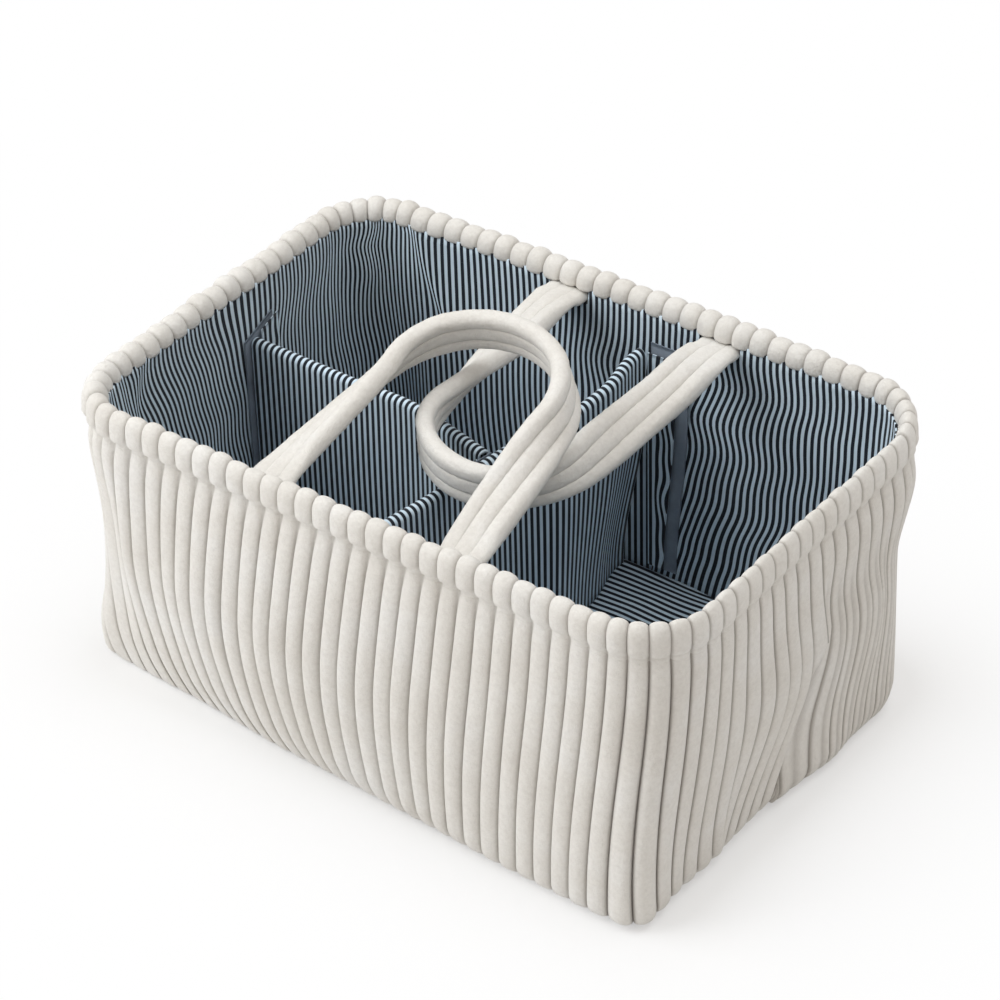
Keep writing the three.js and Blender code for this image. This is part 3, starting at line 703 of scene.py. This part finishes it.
# A node tree of a material or the world, with its nodes made and linked in one step each
class Graph:
    def __init__(self, owner, cleared=False):
        owner.use_nodes = True
        self.nodes = owner.node_tree.nodes
        self.links = owner.node_tree.links
        if cleared:
            self.nodes.clear()
        if isinstance(owner, bpy.types.Material):
            self.place = self.add("TexCoord", {}).outputs["Object"]

    def feed(self, node, inputs):
        for key, value in inputs.items():
            if isinstance(value, bpy.types.NodeSocket):
                self.links.new(value, node.inputs[key])
            elif value is not None:
                node.inputs[key].default_value = value

    def add(self, kind, inputs, **settings):
        node = self.nodes.new(f"ShaderNode{kind}")
        for setting, value in settings.items():
            setattr(node, setting, value)
        self.feed(node, inputs)
        return node

    def math(self, operation, first, second=None):
        return self.add("Math", {0: first, 1: second}, operation=operation).outputs[0]

    def vector(self, operation, first, second=None):
        node = self.add("VectorMath", {0: first, 1: second}, operation=operation)
        return node.outputs["Value" if operation == "LENGTH" else "Vector"]

    def noise(self, scale, detail, rough=0.6):
        inputs = {"Scale": scale, "Detail": detail, "Roughness": rough, "Vector": self.place}
        return self.add("TexNoise", inputs).outputs["Fac"]

    def attribute(self, name):
        return self.add("Attribute", {}, attribute_name=name).outputs["Fac"]

    def mix(self, blend, share, first, second):
        inputs = {"Factor": share, "A": first, "B": second}
        return self.add("Mix", inputs, data_type="RGBA", blend_type=blend).outputs["Result"]

    def ramp(self, value, stops):
        node = self.add("ValToRGB", {"Fac": value})
        elements = node.color_ramp.elements
        while len(elements) > 1:
            elements.remove(elements[-1])
        elements[0].position = stops[0][0]
        elements[0].color = (*stops[0][1], 1)
        for place, color in stops[1:]:
            elements.new(place).color = (*color, 1)
        return node.outputs["Color"]

    # 1 where the camera sees a surface, directly or through gloss or glass, and 0 for other light
    def seen(self):
        path = self.add("LightPath", {}).outputs
        seen = self.math("MAXIMUM", path["Is Camera Ray"], path["Is Glossy Ray"])
        return self.math("MAXIMUM", seen, path["Is Transmission Ray"])


WHITE = (1, 1, 1)


def new_material(name, color, roughness, specular):
    material = bpy.data.materials.new(name)
    graph = Graph(material)
    shader = graph.nodes["Principled BSDF"]
    graph.feed(shader, {"Base Color": (*color, 1), "Roughness": roughness, "Specular IOR Level": specular})
    return material, graph, shader


def add_bump(graph, shader, height, strength, distance, before=None):
    inputs = {"Strength": strength, "Distance": distance, "Height": height, "Normal": before}
    normal = graph.add("Bump", inputs).outputs["Normal"]
    graph.feed(shader, {"Normal": normal})
    return normal


def plush_material():
    material, graph, shader = new_material("plush_ivory", (0.80, 0.785, 0.745), 0.95, 0.15)
    tint = graph.ramp(graph.noise(26, 3), [
        (0.30, (0.77, 0.745, 0.70)),
        (0.50, (0.815, 0.795, 0.755)),
        (0.72, (0.845, 0.835, 0.81)),
    ])
    tufts = graph.ramp(graph.noise(420, 4, 0.7), [(0.25, (0.90, 0.895, 0.89)), (0.6, WHITE)])
    pile = graph.mix("MULTIPLY", 1.0, tint, tufts)
    # Painted shade: the plush is mixed towards a dark brown by the groove attribute in valleys, pleats and
    # the fold
    color = graph.mix("MIX", graph.attribute("groove"), pile, (0.36, 0.33, 0.30, 1))
    graph.feed(shader, {"Base Color": color, "Sheen Weight": 0.35, "Sheen Roughness": 0.55})
    soft = add_bump(graph, shader, graph.noise(160, 3), 0.7, 0.0012)
    add_bump(graph, shader, graph.noise(1500, 3, 0.7), 0.8, 0.0006, soft)
    return material


PALE = (0.68, 0.81, 0.91)
NAVY = (0.006, 0.0095, 0.017)
DARK_SHARE = 0.52
EDGE_ROUGH = 0.03
EDGE_BLUR = 0.028


def lining_material():
    material, graph, shader = new_material("lining_stripe", PALE, 0.78, 0.25)
    part = graph.math("FRACT", graph.math("DIVIDE", graph.attribute("stripe"), STRIPE_PITCH))
    away = graph.math("ABSOLUTE", graph.math("SUBTRACT", part, 0.5))
    moved = graph.math("ADD", away, graph.math("MULTIPLY", graph.noise(2600, 2), EDGE_ROUGH))
    half = (DARK_SHARE + EDGE_ROUGH) / 2
    stripes = graph.ramp(moved, [(half - EDGE_BLUR, NAVY), (half + EDGE_BLUR, PALE)])
    mottle = graph.ramp(graph.noise(40, 3), [(0.3, (0.90, 0.91, 0.93)), (0.7, WHITE)])
    color = graph.mix("MULTIPLY", 1.0, stripes, mottle)
    graph.feed(shader, {"Base Color": color, "Sheen Weight": 0.1})
    add_bump(graph, shader, graph.noise(2300, 2), 0.35, 0.0003)
    return material


def woven_material(name, low, high, scale, roughness, strength):
    material, graph, shader = new_material(name, high, roughness, 0.2)
    color = graph.ramp(graph.noise(70, 4), [(0.32, low), (0.68, high)])
    graph.feed(shader, {"Base Color": color})
    add_bump(graph, shader, graph.noise(scale, 3, 0.7), strength, 0.0005)
    return material


MATERIALS = {
    "plush": plush_material(),
    "lining": lining_material(),
    "tape": woven_material("tape_slate", (0.23, 0.27, 0.33), (0.30, 0.35, 0.42), 2400, 0.8, 0.6),
    "hook": woven_material("hook_slate", (0.06, 0.075, 0.10), (0.09, 0.11, 0.14), 1500, 0.55, 1.0),
    "foam": woven_material("felt_padding", (0.60, 0.60, 0.57), (0.70, 0.70, 0.67), 700, 0.95, 0.8),
    "board": woven_material("grey_board", (0.36, 0.31, 0.24), (0.46, 0.40, 0.32), 900, 0.85, 0.3),
}


def dress(obj, slot):
    obj.data.materials.append(MATERIALS[slot])


def finish_piece(obj, slot, body, node):
    dress(obj, slot)
    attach(obj, body)
    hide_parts(node)
    return obj


# Walls and base
cover = finish_piece(outer_cover(), "plush", "basket", "outer_cover")
hem = finish_piece(rim_hem(), "plush", "basket", "rim_hem")
walls = finish_piece(lining_walls(), "lining", "basket", "lining_walls")

FLOOR_INSET = LINING_INNER + 0.3
BASE_INSET = 8.6
floor_cloth, places = base_layer(
    "lining_base_cloth", FLOOR_INSET, LAYER_BOTTOM, FLOOR_TOP, {"top": floor_shape}, 372, 60
)
floor_warp = 1.6 * np.sin(places[:, 0] / 31 + 0.7) + 1.1 * np.sin(places[:, 0] / 13 + places[:, 1] / 30)
set_attribute(floor_cloth, "stripe", places[:, 1] + floor_warp)
finish_piece(floor_cloth, "lining", "basket", "lining_base")

under, _ = base_layer("base_cover_plush", BASE_INSET, 0.0, BASE_COVER_TOP, {"bottom": base_ribs}, 372, 120)
finish_piece(under, "plush", "basket", "base_cover")
stiffener, _ = base_layer("base_board_panel", BASE_INSET, BOARD_BOTTOM, BOARD_TOP, {}, 248, 6)
finish_piece(stiffener, "board", "basket", "base_board")


def wall_pad(name, middle, half, notched):
    steps = 80
    s = middle + np.linspace(-half, half, steps)
    cut = strap_notch(s) if notched else np.zeros(steps)
    heights = np.concatenate([[6.4, 7.4], np.linspace(12, 160, 20), [164.0, 168.0]])
    columns = []
    for inset, order in ((PAD_OUTER + 1.0, heights), (PAD_INNER - 0.6, heights[::-1])):
        for z in order:
            level = np.minimum(z, 168.0 - cut * 7.5)
            columns.append(wall_points(s, inset, level, 0.0, lining_wrinkle(s, level)))
    rows = len(columns)
    first = [r * steps for r in range(rows)]
    last = [r * steps + steps - 1 for r in range(rows)]
    return make_mesh(name, np.concatenate(columns), grid_faces(rows, steps, True, False), [first[::-1], last])


for side, middle, half, notched in (
    ("front", 0.0, STRAIGHT_X / 2, True),
    ("right", right_at(0), STRAIGHT_Y / 2, False),
    ("back", back_at(0), STRAIGHT_X / 2, True),
    ("left", left_at(0), STRAIGHT_Y / 2, False),
):
    pad = wall_pad(f"{side}_wall_padding", middle, half, notched)
    finish_piece(pad, "foam", "basket", f"{side}_wall_pad")


# Divider: padded panels with a rounded top, each a sleeve of cloth over a stiff board
CROSS_FRONT = np.array([-10.0, -108.4])
CROSS_BACK = np.array([14.0, 108.4])
cross_along = (CROSS_BACK - CROSS_FRONT) / np.linalg.norm(CROSS_BACK - CROSS_FRONT)
cross_left = np.array([-cross_along[1], cross_along[0]])
junction_share = (-6.0 - CROSS_FRONT[1]) / (CROSS_BACK[1] - CROSS_FRONT[1])
junction_foot = CROSS_FRONT + (CROSS_BACK - CROSS_FRONT) * junction_share
LONG_LEFT = np.array([-174.9, 15.0])
LONG_BEND = np.array([-60.0, 10.0])
approach = (junction_foot - LONG_BEND) / np.linalg.norm(junction_foot - LONG_BEND)
skew = DIVIDER_HALF * abs(approach[0] * cross_left[1] - approach[1] * cross_left[0])
# The middle flap's hinge: past the panel's half, a gap, the tape, a gap and half the flap's stack
JUNCTION_HINGE = DIVIDER_HALF + 0.3 + 1.0 + 0.3 + 1.2
LONG_RIGHT = junction_foot + cross_left * (JUNCTION_HINGE + skew)


def route_line(places, steps):
    places = [np.asarray(p, float) for p in places]
    lengths = [0.0]
    for a, b in zip(places, places[1:]):
        lengths.append(lengths[-1] + float(np.linalg.norm(b - a)))
    t = np.linspace(0, lengths[-1], steps)
    xy = np.stack([np.interp(t, lengths, [p[k] for p in places]) for k in (0, 1)], axis=1)
    return xy, t


# A route with its bends rounded off over a width, by smoothing a fine line
def rounded_route(places, steps, width):
    fine_steps = 801
    fine, t = route_line(places, fine_steps)
    reach = max(1, int(width / (t[1] - t[0])))
    kernel = np.hanning(2 * reach + 1)
    kernel /= kernel.sum()
    padded_line = np.concatenate([
        2 * fine[:1] - fine[reach:0:-1],
        fine,
        2 * fine[-1:] - fine[-2:-reach - 2:-1],
    ])
    soft = np.stack([np.convolve(padded_line[:, k], kernel, mode="valid") for k in (0, 1)], axis=1)
    pick = np.linspace(0, fine_steps - 1, steps)
    return np.stack([np.interp(pick, np.arange(fine_steps), soft[:, k]) for k in (0, 1)], axis=1)


# The cross divider bows to the right between the junction and the back wall
def cross_bow(route):
    return 6.0 * window(route[:, 1], 40, 72, 34)


# The cross divider leans to the left towards its foot at the back wall
def leaned(points):
    shift = -BACK_LEAN * (1 - ramp(points[:, 2], 8, 118)) * ramp(points[:, 1], 14, 106)
    return points + np.stack([shift, 0 * shift, 0 * shift], axis=1)


# Rings across a route, each from its section, with puff as the cloth's swell
def panel_rings(route, length, section, puff):
    along = np.gradient(route, axis=0)
    along /= np.linalg.norm(along, axis=1)[:, None]
    left = np.stack([-along[:, 1], along[:, 0]], axis=1)
    rings = []
    for k in range(len(route)):
        v, z = section(k)
        v = v + puff(length[k], z, v)
        rings.append(np.column_stack([route[k, 0] + left[k, 0] * v, route[k, 1] + left[k, 1] * v, z]))
    return [leaned(ring) for ring in rings]


SLEEVE_CLOTH = 1.5


def sleeve_section(top):
    outer = DIVIDER_HALF
    inner = DIVIDER_HALF - SLEEVE_CLOTH
    up = np.linspace(DIVIDER_BOTTOM, top - outer, 22)
    arc = np.linspace(0, math.pi, 11)[1:-1]
    inside = np.linspace(DIVIDER_BOTTOM, top - 2.2, 12)
    v = [np.full(22, -outer), -outer * np.cos(arc), np.full(22, outer)]
    v += [np.full(12, inner), np.full(12, -inner)]
    z = [up, top - outer + outer * np.sin(arc), up[::-1], inside, inside[::-1]]
    return np.concatenate(v), np.concatenate(z)


def sleeve(name, route, top_at, flat_at, seed):
    step = np.linalg.norm(np.diff(route, axis=0), axis=1)
    length = np.concatenate([[0], np.cumsum(step)])
    total = length[-1]
    noise = np.random.default_rng(seed)
    parts = [(noise.uniform(14, 40), noise.uniform(0, 6), noise.uniform(20, 60)) for _ in range(5)]

    def section(k):
        return sleeve_section(top_at(length[k] / total))

    def puff(place, z, v):
        ends = ramp(place, 0, 10) * ramp(total - place, 0, 10)
        waves_here = sum(np.sin(place / a + b + z / c) for a, b, c in parts) / 5
        height = np.clip((z - DIVIDER_BOTTOM) / (top_at(place / total) - DIVIDER_BOTTOM), 0, 1)
        arch = np.sin(math.pi * height)
        swell = 0.7 * arch * np.sign(v) * ends
        return (1 - flat_at(place)) * (swell + 0.5 * waves_here * arch**0.5 * np.sign(v))

    rings = panel_rings(route, length, section, puff)
    obj = make_tube(name, rings)
    set_attribute(obj, "stripe", np.repeat(length, len(rings[0])))
    return obj


def board_panel(name, route, top):
    half = DIVIDER_HALF - SLEEVE_CLOTH - 0.3
    levels = np.linspace(DIVIDER_BOTTOM + 0.2, top, 14)
    sides = np.repeat([-half, half], len(levels))
    section = (sides, np.concatenate([levels, levels[::-1]]))
    return make_tube(name, panel_rings(route, np.arange(len(route)), lambda k: section, lambda *at: 0.0))


# The tops of the two panels, pressed down in the middle where the handles lie on them
CROSS_TOP = ([0, 0.1, 0.25, 0.6, 0.78, 0.95, 1], [149, 147, PRESSED_TOP, PRESSED_TOP, 148, 153, 153.5])
LONG_TOP = ([0, 0.25, 0.45, 0.6, 1], [141, 141.6, 142.4, 144, PRESSED_TOP])
TRIMMED = slice(2, -2)


# The cover lies flat where a flap can fold onto it
def cross_flat(place):
    at_ends = max(1 - ramp(place, 24, 34), ramp(place, 183, 193))
    return max(at_ends, window(place, 66, 112, 8))


def long_flat(place):
    return 1 - ramp(place, 18, 28)


cross_route, _ = route_line([CROSS_FRONT, CROSS_BACK], 121)
cross_route = cross_route - cross_left * cross_bow(cross_route)[:, None]
long_route = rounded_route([LONG_LEFT, LONG_BEND, LONG_RIGHT], 101, 26)
for side, route, top, flat_at, seed in (
    ("cross", cross_route, CROSS_TOP, cross_flat, 3),
    ("long", long_route, LONG_TOP, long_flat, 5),
):
    cloth = sleeve(f"{side}_divider_cloth", route, lambda t, top=top: np.interp(t, *top), flat_at, seed)
    finish_piece(cloth, "lining", "basket", f"{side}_divider_cover")
for side, route, board_top in (("cross", cross_route, PRESSED_TOP - 2.8), ("long", long_route, 138.0)):
    panel = board_panel(f"{side}_divider_panel", route[TRIMMED], board_top)
    finish_piece(panel, "board", "basket", f"{side}_divider_board")


# Closures: a tape on the surface, and a flap of lining cloth with a hook strip behind it
def strip_piece(name, origin, along, away, u_range, z_range, thickness, skewed, roundness):
    slant, pull, wave = skewed
    nu = 26
    nz = 60
    uu, zz = np.meshgrid(np.linspace(*u_range, nu), np.linspace(*z_range, nz), indexing="ij")
    edge_u = np.minimum(uu - u_range[0], u_range[1] - uu)
    edge_z = np.minimum(zz - z_range[0], z_range[1] - zz)
    edge = np.clip(np.minimum(edge_u, edge_z) / roundness, 0, 1)
    half = thickness / 2 * (0.55 + 0.45 * np.sqrt(1 - (1 - edge) ** 2))
    far = (uu - u_range[0]) / (u_range[1] - u_range[0])
    zz = zz + slant * uu * ramp(zz, 90, z_range[1])
    uu = uu - pull * far * (1 - ramp(zz, 14, 118))
    layers = []
    for depth in (half, -half):
        x = origin[0] + along[0] * uu + away[0] * depth
        y = origin[1] + along[1] * uu + away[1] * depth
        layers.append(np.stack([x, y, zz], axis=-1).reshape(-1, 3))
    top_faces = grid_faces(nu, nz, False, False)
    border = [i * nz for i in range(nu)]
    border += [(nu - 1) * nz + j for j in range(1, nz)]
    border += [i * nz + nz - 1 for i in range(nu - 2, -1, -1)]
    border += [j for j in range(nz - 2, 0, -1)]
    rim = [[b, a, a + nu * nz, b + nu * nz] for a, b in zip(border, border[1:] + border[:1])]
    faces = np.concatenate([top_faces, top_faces[:, ::-1] + nu * nz, np.array(rim)])
    obj = make_mesh(name, np.concatenate(layers), faces)
    sway = wave * ramp(uu, 2, 10) * (np.sin(zz / 9 + uu / 8) + 0.6 * np.sin(zz / 4.3))
    set_attribute(obj, "stripe", np.tile((uu + sway).ravel(), 2))
    return obj


# The flap and its hook strip fill the stack, and the tape lies under it across a small gap
STACK = 2.4
GAP = 0.3
CLOTH_THICK = 1.3
HOOK_THICK = 0.78
TAPE_THICK = 0.95
FLAP_FOOT = 14
HOOK_FOOT = 17
TAPE_FOOT = 12
HINGE_SIDE = DIVIDER_HALF + GAP + STACK / 2


# Closes one end of the divider: top and wide size the flap, reach and rise place the tape from the
# hinge and the flap's top, slant and pull skew both, and wave bends the cloth's stripes
def closure(side, tape_name, hinge, along, away, top, wide, reach, rise=1.5, slant=0.0, pull=0.0, wave=1.0):
    along = np.asarray(along, float) / np.linalg.norm(along)
    away = np.asarray(away, float) / np.linalg.norm(away)
    body = f"{side}_flap"
    tape_top = top + rise
    half = STACK / 2

    def strip(name, depth, across, upward, thickness, roundness):
        origin = hinge + away * depth
        skewed = (slant, pull, wave)
        return strip_piece(name, origin, along, away, across, upward, thickness, skewed, roundness)

    cloth = strip(f"{side}_flap_cloth", half - 0.7, (0, wide), (FLAP_FOOT, top), CLOTH_THICK, 2.0)
    finish_piece(cloth, "lining", body, body)
    hooks = strip(f"{side}_hook_strip", 0.4 - half, (1.5, wide - 1.5), (HOOK_FOOT, top - 3), HOOK_THICK, 0.8)
    finish_piece(hooks, "hook", body, f"{side}_hook")
    band = strip(f"{tape_name}_strip", -(half + GAP + 0.5), reach, (TAPE_FOOT, tape_top), TAPE_THICK, 1.2)
    finish_piece(band, "tape", "basket", tape_name)


BACK_HINGE = CROSS_BACK + np.array([HINGE_SIDE, 0])
FRONT_HINGE = CROSS_FRONT + np.array([HINGE_SIDE, 0])
LEFT_HINGE = LONG_LEFT + np.array([0, HINGE_SIDE])
MIDDLE_HINGE = np.array([-5.493, -10.425])
closure("cross_back", "back_wall_tape", BACK_HINGE, (1, 0), (0, -1), 153.0, 17, (0.5, 24), 5.5, 0.0, 7.0, 1.2)
closure("cross_front", "front_wall_tape", FRONT_HINGE, (1, 0), (0, 1), 146.0, 22, (-8, 29))
closure("long_left", "left_wall_tape", LEFT_HINGE, (0, 1), (1, 0), 143.5, 14, (-12, 12), slant=0.38, wave=1.6)
closure(
    "long_right", "cross_divider_tape", MIDDLE_HINGE, -cross_along, cross_left, 142.0, 22, (-8, 29), wave=0.6
)


# Handles: padded straps of three ribs, swept along each loop
def loop_path(loop, step):
    root = loop["spacing"] / 2
    half, leg, crown = loop["half"], loop["leg"], loop["crown"]
    t = np.linspace(0, 1, int(leg / step), endpoint=False)
    right = np.stack([root + (half - root) * t, leg * t], axis=1)
    angle = np.linspace(0, math.pi, int(math.pi * crown / step) + 1)
    across = half * np.cos(angle) + loop["skew"] * np.sin(angle) ** 2
    top = np.stack([across, leg + crown * np.sin(angle)], axis=1)
    left = right[::-1] * np.array([-1, 1])
    return np.concatenate([right, top, left])


# The strap's section, thick and rounded at its two edges, with a groove beside the middle rib
def strap_ring(half_width, half_thick, groove):
    rib = half_width / 3
    steps = (1 - np.cos(math.pi * np.arange(9) / 9)) / 2
    w = np.concatenate([(-3 + 2 * k + 2 * steps) * rib for k in range(3)])
    local = (w / rib + 3) % 2 - 1
    hump = np.sqrt(np.clip(1 - np.abs(local) ** 2.2, 0, 1))
    thick = 1 - groove * (1 - hump)
    edge = np.clip(np.abs(w) / rib - 2, 0, 1)
    thick = np.where(edge > 0, np.sqrt(np.clip(1 - edge**2, 0, 1)), thick)
    w_ring = np.concatenate([w, -w])
    t_ring = np.concatenate([thick, -thick]) * half_thick
    return w_ring, t_ring


# Reorders a ring so that its points meet those of the next ring
def align(ring, target):
    best = None
    for order in (np.arange(len(ring)), np.arange(len(ring))[::-1]):
        for shift in range(len(ring)):
            index = np.roll(order, shift)
            cost = float(((ring[index] - target) ** 2).sum())
            if best is None or cost < best[0]:
                best = (cost, index)
    return ring[best[1]]


# The strap's sewn-in end: how far each ring lies behind the root, and its half thickness
STRAP_ROOTS = [(15.5, 2.6), (11.0, 3.4), (7.0, 3.6), (3.4, 3.2)]


# How far the strap has turned on edge, by its lengths from the two roots
def strap_turn(loop, from_right, from_left):
    right = np.interp(from_right, *loop["right_turn"])
    left = np.interp(from_left, *loop["left_turn"])
    return math.radians(min(right, left))


# One strap from its root under the hem, up and over its loop, to its other root
def handle(name, loop, seed):
    side = loop["side"]
    angle = math.radians(loop["lean"])
    along = np.array([0, -side * math.sin(angle), math.cos(angle)])
    across = np.array([1.0, 0, 0])
    square = np.cross(across, along)
    origin = np.array([loop["x"], side * HANDLE_Y, HANDLE_Z])
    inward = np.array([0, -side, 0.0])
    path = loop_path(loop, 2.6)
    gaps = np.linalg.norm(np.diff(path, axis=0), axis=1)
    length = np.concatenate([[0], np.cumsum(gaps)])
    total = length[-1]
    tangent = np.gradient(path, axis=0)
    tangent /= np.linalg.norm(tangent, axis=1)[:, None]
    tangent[0] = (0, 1)
    tangent[-1] = (0, -1)
    noise = np.random.default_rng(seed)
    wobble = [(noise.uniform(7, 22), noise.uniform(0, 6)) for _ in range(4)]
    rings = []
    for k, place in enumerate(path):
        from_root = min(length[k], total - length[k])
        turn = strap_turn(loop, length[k], total - length[k])
        swell = smooth(from_root / 24.0)
        on_edge = smooth((math.degrees(turn) - 30) / 60)
        half_thick = 3.0 + (STRAP_THICK / 2 - 3.0) * swell - 0.7 * on_edge
        half_thick *= 1 + 0.03 * sum(math.sin(length[k] / a + b) for a, b in wobble)
        half_width = STRAP_WIDTH / 2 * (1 + 0.012 * math.sin(length[k] / wobble[0][0])) - 1.1 * on_edge
        w, thick = strap_ring(half_width, half_thick, 0.22 + 0.16 * swell - 0.14 * on_edge)
        out = np.array([tangent[k, 1], -tangent[k, 0]])
        wide = w * math.cos(turn) + thick * math.sin(turn)
        through = -side * (thick * math.cos(turn) - w * math.sin(turn))
        ring = origin + np.outer(place[0] + out[0] * wide, across)
        ring = ring + np.outer(place[1] + out[1] * wide, along) + np.outer(through, square)
        raised = np.array([0, 0, loop["root_rise"] * (1 - ramp(from_root, 4, 40))])
        rings.append(ring + raised + noise.normal(0, 0.09, ring.shape) * swell)

    def root(end):
        made = []
        for back, half_thick in STRAP_ROOTS:
            half_width = STRAP_WIDTH / 2 * (0.94 if back > 5 else 0.97)
            w, thick = strap_ring(half_width, half_thick, 0.15)
            centre = np.array([loop["x"] + path[end, 0], side * HANDLE_Y, HANDLE_Z])
            sunk = 2.2 * smooth(back / 6.0)
            centre = centre - inward * back + np.array([0, 0, loop["root_rise"] - sunk])
            ring = centre + np.outer(w, across) + np.outer(thick, [0, 0, 1.0])
            made.append(align(ring, rings[end]))
        return made

    rings = root(0) + rings + root(-1)[::-1]
    obj = make_tube(f"{name}_strap", rings)
    dress(obj, "plush")
    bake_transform(obj)
    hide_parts(f"{name}_cover", f"{name}_core", f"{name}_left_end", f"{name}_right_end")


handle("front_handle", FRONT_LOOP, 21)
handle("back_handle", BACK_LOOP, 22)

# The glow of the floor is weaker near the basket's foot: a painted contact shadow, which also lets the
# floor's real shadow show there; sizes in metres
FLOOR_HALF = 6000.0
FOOT_HALF = (0.165, 0.098, 0.0)
FOOT_REACH = 0.027
SHADOW_FADE = 0.042
SHADOW_SHARE = 0.60


def stage_floor():
    corners = [(x * FLOOR_HALF, y * FLOOR_HALF, 0) for x, y in ((-1, -1), (1, -1), (1, 1), (-1, 1))]
    floor = make_mesh("studio_floor", corners, [(0, 1, 2, 3)])
    floor.location.z = -0.0004
    material = bpy.data.materials.new("studio_floor")
    graph = Graph(material, cleared=True)
    # Painted contact shadow: the glow fades by distance from the basket's foot
    past = graph.vector("SUBTRACT", graph.vector("ABSOLUTE", graph.place), FOOT_HALF)
    away = graph.vector("LENGTH", graph.vector("MAXIMUM", past, (0.0, 0.0, 0.0)))
    fade = graph.math("DIVIDE", graph.math("SUBTRACT", away, FOOT_REACH), SHADOW_FADE)
    fade = graph.math("MULTIPLY", graph.math("MAXIMUM", fade, 0.0), -1.0)
    shadow = graph.math("MULTIPLY", graph.math("EXPONENT", fade), SHADOW_SHARE)
    share = graph.math("MULTIPLY", graph.seen(), graph.math("SUBTRACT", 1.0, shadow))
    diffuse = graph.add("BsdfDiffuse", {"Color": (0.86, 0.86, 0.86, 1)}).outputs["BSDF"]
    glow = graph.add("Emission", {"Color": (1, 1, 1, 1)}).outputs["Emission"]
    surface = graph.add("MixShader", {"Fac": share, 1: diffuse, 2: glow}).outputs["Shader"]
    graph.add("OutputMaterial", {"Surface": surface})
    floor.data.materials.append(material)


def studio_world():
    world = bpy.data.worlds.new("studio")
    bpy.context.scene.world = world
    graph = Graph(world, cleared=True)
    light = graph.add("Background", {"Color": (1.0, 0.93, 0.86, 1), "Strength": 0.50})
    white = graph.add("Background", {"Color": (1, 1, 1, 1), "Strength": 1.0})
    inputs = {"Fac": graph.seen(), 1: light.outputs["Background"], 2: white.outputs["Background"]}
    graph.add("OutputWorld", {"Surface": graph.add("MixShader", inputs).outputs["Shader"]})


def area_light(name, place, target, size, power, color):
    data = bpy.data.lights.new(name, "AREA")
    data.shape = "SQUARE"
    data.size = size
    data.energy = power
    data.color = color
    lamp = add_object(name, data)
    lamp.location = place
    lamp.rotation_euler = (Vector(target) - Vector(place)).to_track_quat("-Z", "Y").to_euler()


# The photo's camera, as it was fitted to the rim: angles in degrees, distances in millimetres
AZIMUTH = math.radians(37.513)
ELEVATION = math.radians(35.517)
ROLL = math.radians(-1.710)
DISTANCE = 1938.075
SHIFT_RIGHT = 1.763
SHIFT_DOWN = 54.755


def photo_camera():
    level = math.cos(ELEVATION)
    back = Vector((math.sin(AZIMUTH) * level, -math.cos(AZIMUTH) * level, math.sin(ELEVATION)))
    right = Vector((math.cos(AZIMUTH), math.sin(AZIMUTH), 0))
    up = back.cross(right)
    x_axis = right * math.cos(ROLL) + up * math.sin(ROLL)
    y_axis = up * math.cos(ROLL) - right * math.sin(ROLL)
    place = Vector((0, 0, HEIGHT)) + back * DISTANCE + x_axis * SHIFT_RIGHT - y_axis * SHIFT_DOWN
    data = bpy.data.cameras.new("photo_camera")
    data.sensor_width = 36.0
    data.lens = 136.8
    data.clip_start = 0.1
    data.clip_end = 30
    camera = add_object("photo_camera", data)
    turn = Matrix((x_axis, y_axis, back)).transposed().to_4x4()
    camera.matrix_world = Matrix.Translation(place / 1000) @ turn
    bpy.context.scene.camera = camera


stage_floor()
studio_world()
area_light("key", (-1.1, -0.8, 1.5), (0, 0, 0.08), 1.2, 19.5, (0.95, 0.98, 1.0))
area_light("top", (0.5, 0.3, 1.9), (0, 0, 0.08), 1.3, 14, (0.95, 0.98, 1.0))
area_light("front", (-1.2, -1.5, 0.6), (-0.1, 0, 0.1), 1.0, 5.5, (0.97, 0.985, 1.0))
photo_camera()
bpy.context.scene.view_settings.view_transform = "Standard"
